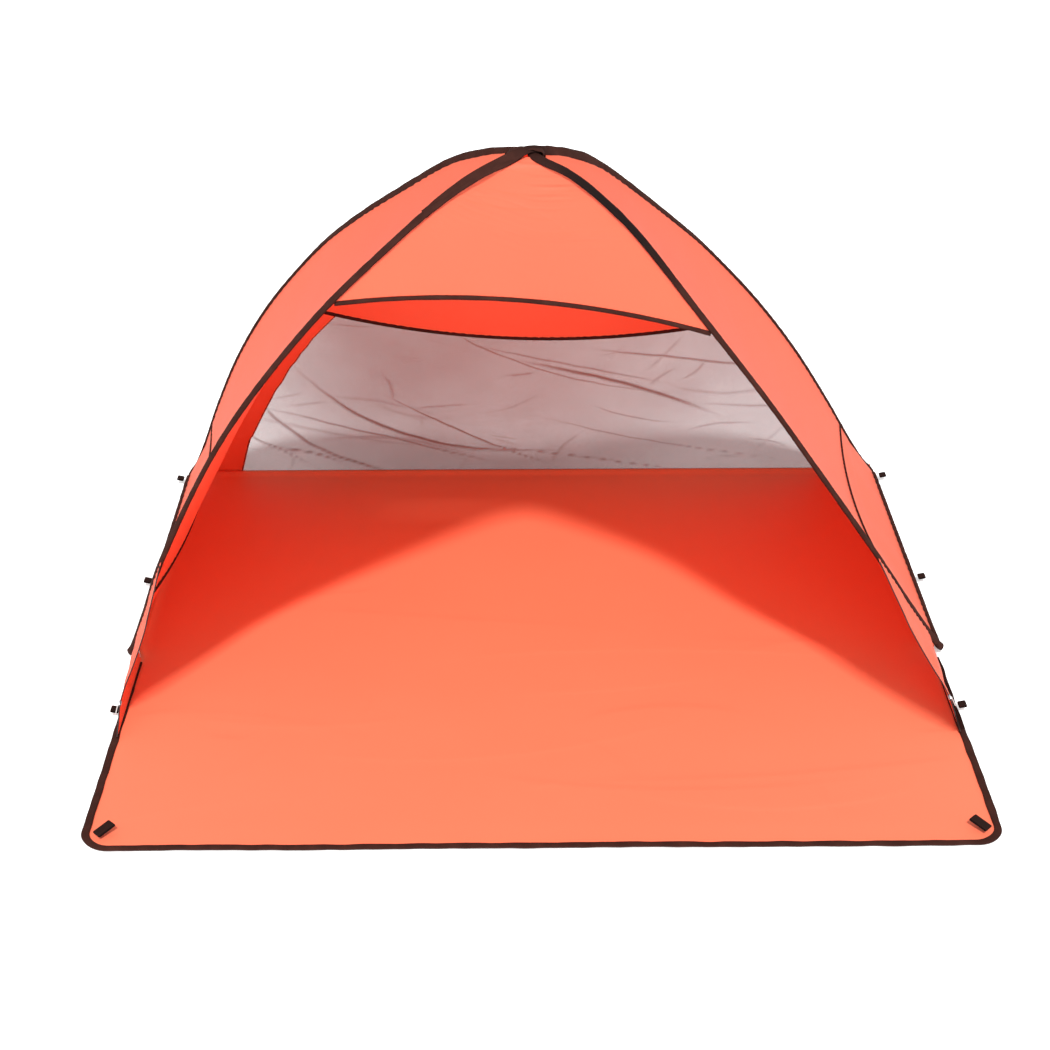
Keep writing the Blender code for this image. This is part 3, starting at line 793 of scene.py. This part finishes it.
def make_front_canopy():
    outside = Vector((0.0, ARCH_Y - 1.0, 0.6))
    left, right = HOOPS[-1].front_rows, HOOPS[1].front_rows
    rows = rib_rows(left, right, CANOPY_TOP_ROW, HEM_ROW, 10, canopy_bulge, outside, HEM_SKEW)
    for r, row in enumerate(rows):
        share = (r / (len(rows) - 1)) ** 3
        for c, point in enumerate(row):
            point.z += HEM_RISE * share * 4 * (c / 10) * (1 - c / 10)
    cut = Cut(refine(rows, 130, 150), outward=(0.0, -1.0, 0.6))
    inside = fade(cut.to_edge, 0.03)
    ridge, mark = creases(cut, 12, 92, 0.14, 0.16, 0.075, 0.0026, (0.20, 0.42))
    relief = 0.0012 * cut.waves(0.20, 93) * inside
    relief += 0.0020 * crown_folds(cut, 94) + 0.0013 * ridge * inside
    relief += 0.0008 * puckers(cut, cut.to_side, cut.v, 0.022, 95)
    relief += 0.0009 * puckers(cut, cut.to_foot, cut.u, 0.018, 96)
    # The fold marks paint shade into the canopy's colour along its creases.
    canopy = sheet_piece("front_canopy_cloth", cut, ORANGE, relief, 0.5 * mark * inside)
    rests = ["left_front_rib_sleeve_tape", "right_front_rib_sleeve_tape"]
    declare(canopy, cut, "stretched", rests, "front_canopy")

    hem_path = [p - Vector((0, 0.0006, 0.0050)) for p in rows[-1]]
    route = Route(catmull(hem_path, 6), face=(0.0, -1.0, 0.30))
    width = 0.0044 + 0.0004 * route.wave(0.09, 97)
    thick = 0.0021 + 0.0003 * route.wave(0.02, 98)
    trim("front_canopy_hem_tape", route, width, thick, "front_canopy_hem")
    sew("front_canopy_hem_stitches", route, (width * SEAM_SHARE,), 0.0020)


def make_back():
    """The back canopy, the mesh window under it, and the strips of cloth beside the window."""
    inside_point = Vector((0.0, ARCH_Y - 1.0, 0.0))
    left, right = HOOPS[-1].back_rows, HOOPS[1].back_rows
    rests = ["left_back_rib_sleeve_tape", "right_back_rib_sleeve_tape"]
    rows = rib_rows(left, right, CANOPY_TOP_ROW, WINDOW_ROW - 0.02, 10, back_sag, inside_point, WINDOW_SKEW)
    cut = Cut(refine(rows, 150, 150), outward=(0.0, 1.0, 0.7))
    inside = fade(cut.to_edge, 0.05)
    ridge, mark = creases(cut, 14, 101, 0.2, 0.7, 0.12, 0.004)
    relief = 0.0022 * cut.waves(0.25, 102) * inside + 0.0010 * ridge * inside
    relief += 0.0012 * crown_folds(cut, 103) + 0.0010 * puckers(cut, cut.to_side, cut.v, 0.022, 104)
    relief += 0.0010 * puckers(cut, cut.to_foot, cut.u, 0.020, 105)
    # The fold marks paint shade into the canopy's colour along its creases.
    canopy = sheet_piece("back_canopy_cloth", cut, ORANGE, relief, 0.35 * mark * inside)
    declare(canopy, cut, "stretched", rests, "back_canopy")

    top = rib_rows(left, right, WINDOW_ROW, WINDOW_ROW + 1e-6, 40, back_sag, inside_point, 0.0,
                   WINDOW_SKEW)[0]
    route = Route(top, face=(0.0, 1.0, 0.5))
    trim("window_top_seam_tape", route, 0.0062, 0.0018 + 0.0002 * route.wave(0.02, 106), "window_top_tape")
    for label, lift in (("outer", 0.0018), ("inner", -0.0018)):
        sew(f"window_top_{label}_stitches", route, (0.0040, -0.0040), lift)

    columns = 40
    full = rib_rows(left, right, WINDOW_ROW + 0.02, RIB_ROWS - 1.3, columns, back_sag, inside_point, 0.0,
                    WINDOW_SKEW)
    foot_y = BACK_Y - 0.0092
    foot = [Vector((side * (HALF_WIDTH - 0.030), foot_y, 0.0075)) for side in (-1, 1)]
    full.append([foot[0].lerp(foot[1], c / columns) for c in range(columns + 1)])
    window, strips = [], {-1: [], 1: []}
    fine_steps, overlap = 400, 2
    for r, row in enumerate(full):
        width = STRIP_WIDTH[0] + (STRIP_WIDTH[1] - STRIP_WIDTH[0]) * r / (len(full) - 1)
        total = sum((b - a).length for a, b in zip(row, row[1:]))
        fine = resample(row, fine_steps)
        edge = round(fine_steps * width / total)
        strips[-1].append(resample(fine[: edge + overlap], 3))
        window.append(resample(fine[edge : fine_steps - edge + 1], 14))
        strips[1].append(resample(fine[fine_steps - edge - overlap + 1 :], 3))
    cut = Cut(refine(window, 250, 440), outward=(0.0, 1.0, 0.5))
    inside = fade(cut.to_edge, 0.03)
    long_ridge, long_mark = creases(cut, 13, 112, 0.40, 0.16, 0.19, 0.0030)
    cross_ridge, cross_mark = creases(cut, 34, 114, -0.5, 0.55, 0.055, 0.0028)
    fan_ridge, fan_mark = creases(cut, 7, 116, 0.12, 0.10, 0.13, 0.0045, (0.40, 0.75))
    relief = (0.0035 * cut.waves(0.24, 118) + 0.0016 * cut.waves(0.07, 119)) * inside
    relief += (0.0014 * long_ridge + 0.0007 * cross_ridge + 0.0009 * fan_ridge) * inside
    relief += 0.0012 * puckers(cut, cut.to_top, cut.u, 0.016, 120)
    # The marks thicken the net along its creases and darken its threads there, a painted shade in the folds;
    # pale makes the net more open towards its left edge, across its right half and towards its foot.
    mark = np.maximum(np.maximum(0.46 * long_mark, 0.17 * cross_mark), 0.22 * fan_mark)
    pale = 0.30 * np.exp(-(((cut.u + 0.46 * cut.width) / 0.20) ** 2))
    pale += 0.26 * fade(cut.u + 0.10 * cut.width, 0.55 * cut.width) + 0.14 * fade(cut.v, cut.length)
    mark = mark * (0.3 + 0.7 * inside) - pale
    netting = sheet_piece("window_netting", cut, NETTING, relief, mark, MESH_THICK)
    declare(netting, cut, "hung", ["window_top_seam_tape"], "window_mesh", slot="window_mesh")
    for side, rows in strips.items():
        name = side_name(side)
        cut = Cut(refine(rows, 190, 30), outward=(0.0, 1.0, 0.4))
        relief = 0.0018 * cut.waves(0.16, 121 + side) * fade(cut.to_edge, 0.03)
        relief += 0.0010 * puckers(cut, cut.to_side, cut.v, 0.018, 123) + 0.0008
        strip = sheet_piece(f"back_{name}_strip_cloth", cut, ORANGE, relief)
        declare(strip, cut, "stretched", [f"{name}_back_rib_sleeve_tape"], f"back_{name}_strip")


def corner_in(y, line, low, radius):
    """Half the width of a sheet at y, whose front corners are round."""
    into = low + radius - y
    return line if into <= 0 else line - radius + math.sqrt(max(radius**2 - into**2, 0.0))


def make_floor():
    """The floor in one piece: the ground sheet and the apron that folds up in front of it."""
    back = BACK_Y - 0.0105
    front = FRONT_Y + 0.002
    down, across = 230, 200
    rows = []
    for r in range(down + 1):
        y = back + (front - back) * r / down
        half = corner_in(y, FLOOR_HALF - 0.002, front, CORNER_RADIUS - 0.002)
        half += 0.0095 * float(fade(y - ARCH_Y, 0.05))  # behind the door the cloth runs up to the sleeves
        rows.append([(half * (2 * c / across - 1), y, 0.0) for c in range(across + 1)])
    cut = Cut(np.array(rows), outward=(0.0, 0.0, 1.0))
    inside = fade(cut.to_edge, 0.06)
    flat_ridge, flat_mark = creases(cut, 15, 131, 0.0, 0.10, 0.26, 0.005, (0.30, 0.97))
    odd_ridge, odd_mark = creases(cut, 12, 133, 0.8, 0.8, 0.05, 0.0035, (0.55, 0.97))
    swell = 0.5 + 0.5 * cut.waves(0.34, 135)
    edge_lift = np.exp(-cut.to_foot / 0.05) * (0.5 + 0.5 * np.sin(cut.u * 23 + 2 * np.sin(cut.u * 7)))
    relief = 0.0010 + 0.0022 * swell * inside + 0.0009 * (flat_ridge + odd_ridge) * inside
    relief += 0.0016 * edge_lift * fade(cut.to_side, 0.05)
    relief = np.maximum(relief, 0.0006) + 0.0085 * np.exp(-((cut.to_top / 0.012) ** 2))
    relief += 0.0105 * np.exp(-((cut.to_side / 0.010) ** 2)) * fade(cut.grid[..., 1] - ARCH_Y, 0.05)
    # The fold marks paint shade into the floor's colour along its creases.
    mark = 0.30 * np.maximum(flat_mark, odd_mark) * inside
    floor = sheet_piece("floor_cloth", cut, FLOOR_CLOTH, relief, mark)
    declare(floor, cut, "laid", [], "ground_sheet", "apron", body=None)
    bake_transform(floor)

    reach = HALF_WIDTH - 0.026
    points = [Vector((x * reach / 8, BACK_Y - 0.004, 0.0040)) for x in range(-8, 9)]
    route = Route(points, face=(0.0, 0.4, 1.0))
    thick = 0.0024 + 0.0002 * route.wave(0.02, 137)
    trim("floor_back_edge_tape", route, 0.0062, thick, "ground_sheet_back_tape")
    sew("floor_back_edge_stitches", route, (0.0042,), 0.0023)
    return floor


def make_apron_tape():
    """The tape folded round the apron's edge: flat, a little wavy, its corners round."""
    low, rear = FRONT_Y - 0.0015, HINGE_Y - 0.004
    line, radius = EDGE_LINE, CORNER_RADIUS
    edge = [Vector((-line, rear + (low + radius - rear) * k / 24, 0)) for k in range(24)]
    for centre, start in ((-line + radius, math.pi), (line - radius, 1.5 * math.pi)):
        for k in range(13):
            angle = start + math.pi / 2 * k / 12
            y = low + radius + radius * math.sin(angle)
            edge.append(Vector((centre + radius * math.cos(angle), y, 0)))
        if centre < 0:
            edge += [Vector(((line - radius) * (k / 30 - 1), low, 0)) for k in range(1, 60)]
    edge += [Vector((line, rear + (low + radius - rear) * (23 - k) / 24, 0)) for k in range(24)]
    route = Route(edge, face=(0.0, 0.0, 1.0))
    route.at += route.side * (0.0018 * route.wave(0.28, 141) + 0.0009 * route.wave(0.07, 142))[:, None]
    lift = 0.0016 * np.maximum(route.wave(0.35, 143), 0)
    route.at[:, 2] += 0.0030 + lift
    width = 0.0075 + 0.0007 * route.wave(0.10, 144)
    thick = 0.0021 + 0.00035 * route.wave(0.018, 145)
    trim("apron_edge_binding", route, width, thick, "apron_edge_tape", "apron", 16)
    sew("apron_edge_stitches", route, (-width * 0.66, width * 0.66), thick * 0.86, "apron")


# ---------------------------------------------------------------- sleeves and seams

def make_sleeves():
    """The tape sleeves that the hoops' wires run in: flat, wider near the crown, gathered and stitched."""
    for side, hoop in HOOPS.items():
        name = side_name(side)
        parts = (
            ("front_rib_sleeve", hoop.front, (0.0104, 0.0055, 0.0078), 0.0042),
            ("back_rib_sleeve", hoop.back[::-1], (0.0112, 0.0052, 0.0045), 0.0044),
            ("ground_sleeve", hoop.ground, (0.0078, 0.0078, 0.0078), 0.0058),
        )
        for index, (part, path, (at_crown, between, at_foot), thick) in enumerate(parts):
            seed = 150 + 10 * index + side
            route = Route(path, step=0.0035)
            near = np.exp(-((route.along / (0.62 if side < 0 else 0.46)) ** 2))
            low = np.exp(-(((route.length - route.along) / 0.35) ** 2))
            width = between + (at_crown - between) * near + (at_foot - between) * low
            if part == "back_rib_sleeve":
                route.aim_by((0.0, -0.85, 0.53), 1 - fade(route.along - 0.45, 0.45))
            width = width * (1 + 0.07 * route.wave(0.05, seed) + 0.03 * route.wave(0.013, seed + 1))
            depth = thick * (1 + 0.10 * route.wave(0.024, seed + 2) + 0.08 * route.wave(0.011, seed + 3))
            turn = 0.22 * route.wave(0.30, seed + 4) + 0.06 * route.wave(0.05, seed + 5)
            route.turn(turn * fade(route.along, 0.05))
            black = np.exp(-(((route.along - 0.20) / 0.17) ** 4))
            black = 0.85 * black if side > 0 and part == "front_rib_sleeve" else 0 * black
            trim(f"{name}_{part}_tape", route, width, depth, f"{name}_{part}", sides=18, marks=black)
            sew(f"{name}_{part}_stitches", route, (width * 0.60, -width * 0.60), depth * 0.80)


def make_wing_seams():
    for side, hoop in HOOPS.items():
        name = side_name(side)
        row = rib_rows(hoop.front_rows, hoop.back_rows, SEAM_ROW, SEAM_ROW + 1e-6, 24, wing_sag, CORE)[0]
        route = Route(row)
        width = 0.0058 + 0.0005 * route.wave(0.08, 181 + side)
        trim(f"{name}_wing_seam_binding", route, width, 0.0020, f"{name}_wing_seam_tape")
        offset = width * SEAM_SHARE
        sew(f"{name}_wing_seam_stitches", route, (offset, -offset), 0.0018)


# ---------------------------------------------------------------- gussets and zips

def bend_with_door(piece):
    """Bakes the piece's transform into its mesh; it does not bend the piece."""
    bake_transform(piece)


def make_gussets():
    rib = resample(catmull([Vector(p) for p in FRONT_RIB], 8), 400)
    back_y = ARCH_Y - 0.006
    foot_z = 0.0065
    for side in (-1, 1):
        name = side_name(side)
        rows, zip_line = [], []
        for r in range(GUSSET_ROWS + 1):
            t = r / GUSSET_ROWS
            z = GUSSET_TOP_Z + (foot_z - GUSSET_TOP_Z) * t
            x = min(min(rib, key=lambda p: abs(p.z - z)).x, HALF_WIDTH - 0.018)
            front_y = back_y - 0.014 + (GUSSET_FOOT_Y - back_y + 0.014) * t**1.25
            belly = 0.012 * math.sin(math.pi * t)
            row = []
            for c in range(GUSSET_COLUMNS + 1):
                share = c / GUSSET_COLUMNS
                y = back_y + (front_y - back_y) * share
                row.append(Vector((side * (x - belly * share) + lean_at(z), y, z)))
            rows.append(row)
            zip_line.append(row[-1] + Vector((0, -0.0018, 0)))
        cut = Cut(refine(rows, 80, 60), outward=(side, -0.2, 0.2))
        relief = 0.0022 * cut.waves(0.07, 191 + side) * fade(cut.to_edge, 0.02)
        relief += 0.0012 * puckers(cut, cut.to_side, cut.v, 0.015, 193)
        gusset = sheet_piece(f"{name}_gusset_cloth", cut, ORANGE, relief)
        declare(gusset, cut, "hung", [f"{name}_front_rib_sleeve_tape"], f"{name}_gusset", body=None)
        bend_with_door(gusset)

        route = Route(catmull(zip_line, 6), step=0.003, face=(side, -0.25, 0.2))
        tape = tape_piece(f"{name}_zip_tape", route, 0.0046, 0.0008, TAPE, 10)
        assign(tape, "brown_tape", None, f"{name}_door_zip")
        bend_with_door(tape)
        teeth = make_teeth(f"{name}_zip_teeth", route)
        assign(teeth, "brown_tape", None)
        bend_with_door(teeth)
        make_slider(name, side, route)


def make_teeth(name, route):
    """The zip's coil: one small tooth after another on both faces of the tape's free edge."""
    verts, faces = [], []
    pitch, half = 0.0022, (0.0007, 0.0016, 0.0012)
    for k in range(int(route.length / pitch)):
        centre, t, n, s = route.spot((k + 0.5) * pitch)
        centre = centre - s * 0.0030 * (1 if s[1] > 0 else -1)
        base = len(verts)
        for a, b, c in itertools.product((-1, 1), repeat=3):
            verts.append(centre + a * half[0] * t + b * half[1] * s + c * half[2] * n)
        for quad in ((0, 1, 3, 2), (4, 6, 7, 5), (0, 4, 5, 1), (2, 3, 7, 6), (0, 2, 6, 4), (1, 5, 7, 3)):
            faces.append([base + q for q in quad])
    return add_piece(name, np.array(verts), faces, TEETH)


def make_slider(name, side, route):
    """A slider on the zip, with its pull tab hanging from it."""
    i = int(len(route.at) * 0.80)
    frame_axes = Matrix((route.tangent[i], route.side[i], route.normal[i])).transposed().to_4x4()
    at = Matrix.Translation(route.at[i]) @ frame_axes
    body_outline = [(-0.0055, 0.0028), (-0.0035, 0.0042), (0.0045, 0.0042), (0.0060, 0.0020)]
    body_outline += [(x, -y) for x, y in reversed(body_outline)]
    tab_outline = [(0.0, 0.0022), (0.0040, 0.0034), (0.0200, 0.0040), (0.0235, 0.0022)]
    tab_outline += [(x, -y) for x, y in reversed(tab_outline)]
    for part, outline, low, high, turn in (
        ("zip_slider", body_outline, -0.0026, 0.0030, 0.0),
        ("zip_pull", tab_outline, 0.0032, 0.0048, 0.35),
    ):
        count = len(outline)
        verts = [(x, y, z) for z in (low, high) for x, y in outline]
        faces = [list(range(count))[::-1], list(range(count, 2 * count))]
        faces += [[k, (k + 1) % count, count + (k + 1) % count, count + k] for k in range(count)]
        look = PULL if part == "zip_pull" else STEEL
        piece = add_piece(f"{name}_{part}", np.array(verts), faces, look)
        piece.data.transform(at @ Matrix.Rotation(turn, 4, "Z"))
        bevel = piece.modifiers.new("edges", "BEVEL")
        bevel.width = 0.0006
        bevel.segments = 2
        assign(piece, "spring_steel", "apron")


# ---------------------------------------------------------------- peg loops and crown

def make_loop(node, pivot, direction, length):
    """A doubled strip of webbing, sewn down at its near end, with an open eye at its far end."""
    heading = math.atan2(direction[1], direction[0])
    matrix = (
        Matrix.Translation(pivot) @ Matrix.Rotation(heading, 4, "Z") @ Matrix.Rotation(-LOOP_TILT, 4, "Y")
        @ Matrix.Translation((-LOOP_THICK / 2, 0.0, 0.0))
    )
    eye = LOOP_THICK / 2
    points = []
    for k in range(17):
        angle = -math.pi / 2 + math.pi * k / 16
        points.append(Vector((length - eye + eye * math.cos(angle), 0, eye * math.sin(angle))))
    for k in range(9):
        angle = math.pi / 2 + math.pi * k / 8
        points.append(Vector((eye + eye * math.cos(angle), 0, eye * math.sin(angle))))
    points.append(points[0])
    points = [matrix @ p for p in points]
    middle = sum(points, Vector()) / len(points)
    route = Route(points, step=0.0012, closed=True)
    route.ring(matrix.to_3x3() @ Vector((0.0, 1.0, 0.0)), middle)
    route.at -= route.normal * WEBBING_HALF
    loop = tape_piece(f"{node}_webbing", route, LOOP_WIDTH / 2, WEBBING_HALF, WEBBING, 16, True, 0.45)
    assign(loop, "brown_tape", node, node)


def make_stake_loops():
    reach = CORNER_RADIUS * (1 - math.sqrt(0.5))
    step_in = 0.0095
    for side in (-1, 1):
        name = side_name(side)
        pivot = (side * (EDGE_LINE - reach - step_in), FRONT_Y + 0.004 + reach + step_in, LOOP_PIVOT_Z)
        make_loop(f"{name}_front_stake_loop", pivot, (-side, 1.0), LONG_LOOP)
        for where, x, y in (
            ("side", EDGE_LINE + 0.0085, SIDE_LOOP_Y),
            ("middle", HALF_WIDTH + 0.0135, MIDDLE_LOOP_Y),
            ("back", HALF_WIDTH + 0.0135, BACK_LOOP_Y),
        ):
            make_loop(f"{name}_{where}_stake_loop", (side * x, y, LOOP_PIVOT_Z), (side, 0.0), SHORT_LOOP)


def make_crown_wrap():
    """The band that ties the two hoops' tips together, drawn tight and creased."""
    x, behind, z = CROWN_TURN[1]
    centre = Vector((lean_at(z), ARCH_Y + behind, z))
    half_long, half_high = 0.0330, 0.0112
    points = []
    for k in range(49):
        angle = 2 * math.pi * k / 48
        bulge = abs(math.cos(angle)) ** 0.6 * math.copysign(1, math.cos(angle))
        points.append(centre + Vector((half_long * bulge, 0.0, half_high * math.sin(angle))))
    route = Route(points, step=0.0022, face=(0, 1, 0), closed=True)
    route.ring((0.0, 1.0, 0.0), centre)
    route.at += route.normal * (0.0009 * route.wave(0.018, 201))[:, None]
    width = 0.0105 * (1 + 0.16 * route.wave(0.03, 202))
    wrap = tape_piece("crown_tie_wrap", route, width, 0.0016, TAPE, 16, True)
    assign(wrap, "brown_tape", "shelter", "crown_tie")


def make_crown_cross():
    """The broad tape that runs on from the left front rib, over the crown, and down the right back rib."""
    forward = np.array((0.0, -0.8, 0.6))
    top = Vector((lean_at(CROWN_TURN[1][2], CROWN_TURN[1][1]), ARCH_Y + 0.026, CROWN_TURN[1][2] + 0.004))
    held_rows = (-0.3, 0.3, 0.9, 1.6, 2.4)
    points = [on_rib(HOOPS[-1].front_rows, u)[0] for u in held_rows[::-1]]
    points += [top]
    points += [on_rib(HOOPS[1].back_rows, u)[0] for u in held_rows]
    route = Route(catmull(points, 10), step=0.002, face=forward)
    middle = route.along - 0.5 * route.length
    knot = np.exp(-((middle / 0.035) ** 2))
    ends = np.minimum(route.along, route.length - route.along)
    route.turn(0.30 * knot * np.sin(middle / 0.012))
    lift = 0.0022 + 0.0030 * fade(ends, 0.10) + 0.0045 * knot + 0.0012 * knot * route.wave(0.014, 211)
    route.at += route.normal * lift[:, None]
    width = (0.0086 + 0.0020 * fade(ends, 0.12)) * (1 - 0.22 * knot) * (1 + 0.05 * route.wave(0.03, 212))
    thick = 0.0012 + 0.0008 * knot
    # The marks darken the tape at the knot: painted shade in its fold.
    cross = tape_piece("crown_cross_tape", route, width, thick, TAPE, 16, marks=0.5 * knot)
    assign(cross, "brown_tape", "shelter")


def finish_steel():
    for side in (-1, 1):
        for part in ("hoop_wire", "wire_ferrule"):
            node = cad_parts[f"{side_name(side)}_{part}"]
            node.data.materials.clear()
            node.data.materials.append(STEEL)


# ---------------------------------------------------------------- stage, light and camera

def make_stage():
    half, z = 30.0, -0.001
    verts = [(-half, -half, z), (half, -half, z), (half, half, z), (-half, half, z)]
    s = Shader("studio_floor")
    tone = s.noise(s.object_place(), 0.6, 2.0)
    s.set(s.surface, Base_Color=s.mixed(tone, (0.93, 0.93, 0.93, 1.0), (0.96, 0.96, 0.96, 1.0)))
    s.surface.inputs["Roughness"].default_value = 0.95
    s.surface.inputs["Specular IOR Level"].default_value = 0.0
    s.surface.inputs["Emission Color"].default_value = WHITE
    s.surface.inputs["Emission Strength"].default_value = STUDIO_GLOW
    add_piece("studio_floor", verts, [(0, 1, 2, 3)], s.material)


def make_flags():
    """Cards inside the door, seen by no ray but the light's: they shape the sunlit patch on the floor."""
    patch = {
        -1: [(-0.85, -0.33), (-0.71, -0.13), (-0.60, 0.03), (-0.46, 0.18), (-0.25, 0.37), (-0.10, 0.50),
             (0.0, 0.54)],
        1: [(0.82, -0.40), (0.69, -0.23), (0.59, -0.08), (0.44, 0.10), (0.30, 0.29), (0.15, 0.43),
            (0.0, 0.54)],
    }
    plane, wide, low = ARCH_Y + 0.004, 0.845, 0.03
    soft, steps = 0.025, 48
    slope = math.tan(SUN_ELEVATION)
    card = Shader("grey_card")
    card.mix_surfaces(card.marks(), card.add("ShaderNodeBsdfTransparent"), card.surface)
    for side, floor_edge in patch.items():
        inner = []
        for x, y in floor_edge:
            rise = max((y - plane) * slope, low)
            inner.append(Vector((x, y - rise / slope, rise)))
        inner = resample(catmull(inner, 6), steps)
        rib = [p for p in HOOPS[side].front_rows if low + 0.02 < p.z < inner[-1].z + 0.01][::-1]
        outer = [Vector((side * wide, y, low)) for y in (floor_edge[0][1] - 0.02, plane)]
        outer = resample(outer + rib, steps)
        verts, cover = [], []
        for a, b in zip(inner, outer):
            away = (b - a).normalized() * min(soft, 0.45 * (b - a).length)
            verts += [a - away, a + away, b]
            cover += [0.0, 1.0, 1.0]
        corners = [3 * k + c for k in range(steps) for c in (0, 1)]
        quads = [(i, i + 1, i + 4, i + 3) for i in corners]
        verts = [tuple(v) for v in verts]
        flag = add_piece(f"{side_name(side)}_flag", verts, quads, card.material, None, cover)
        for ray in ("camera", "diffuse", "glossy", "transmission", "volume_scatter"):
            setattr(flag, f"visible_{ray}", False)


def make_light():
    scene = bpy.context.scene
    scene.view_settings.view_transform = "Standard"
    world = bpy.data.worlds.new("studio")
    scene.world = world
    world.use_nodes = True
    world.cycles.sampling_method = "NONE"
    tree = world.node_tree
    ambient = tree.nodes["Background"]
    ambient.inputs["Color"].default_value = WHITE
    ambient.inputs["Strength"].default_value = AMBIENT_STRENGTH
    seen = tree.nodes.new("ShaderNodeBackground")
    seen.inputs["Strength"].default_value = 1.0
    rays = tree.nodes.new("ShaderNodeLightPath")
    mix = tree.nodes.new("ShaderNodeMixShader")
    tree.links.new(rays.outputs["Is Camera Ray"], mix.inputs[0])
    tree.links.new(ambient.outputs[0], mix.inputs[1])
    tree.links.new(seen.outputs[0], mix.inputs[2])
    tree.links.new(mix.outputs[0], tree.nodes["World Output"].inputs["Surface"])
    key = bpy.data.lights.new("key", "SUN")
    key.energy = SUN_STRENGTH
    key.angle = SUN_ANGLE
    holder = bpy.data.objects.new("key", key)
    holder.rotation_euler = (math.pi / 2 - SUN_ELEVATION, 0.0, 0.0)
    scene.collection.objects.link(holder)


def make_glow(floor):
    """More of the orange light that comes down through the cloth, for the floor alone."""
    glow = bpy.data.lights.new("shelter_glow", "AREA")
    glow.shape = "DISK"
    glow.size = LAMP_SIZE
    glow.energy = LAMP_POWER
    glow.color = LAMP_COLOUR
    lamp = bpy.data.objects.new("shelter_glow", glow)
    lamp.location = LAMP_AT
    bpy.context.scene.collection.objects.link(lamp)
    lit = bpy.data.collections.new("lit_by_glow")
    lit.objects.link(floor)
    lamp.light_linking.receiver_collection = lit


def make_camera():
    scene = bpy.context.scene
    camera = bpy.data.cameras.new("camera")
    camera.sensor_width = SENSOR_WIDTH
    camera.lens = LENS
    holder = bpy.data.objects.new("camera", camera)
    turn = Matrix.Rotation(CAMERA_TURN, 4, "Z") @ Matrix.Rotation(CAMERA_PITCH, 4, "X")
    holder.matrix_world = Matrix.Translation(CAMERA_AT) @ turn
    scene.collection.objects.link(holder)
    scene.camera = holder


make_camera()
make_stage()
make_light()
make_flags()
make_sleeves()
make_wings()
make_wing_seams()
make_front_canopy()
make_back()
make_glow(make_floor())
make_apron_tape()
make_gussets()
make_stake_loops()
make_crown_wrap()
make_crown_cross()
finish_steel()
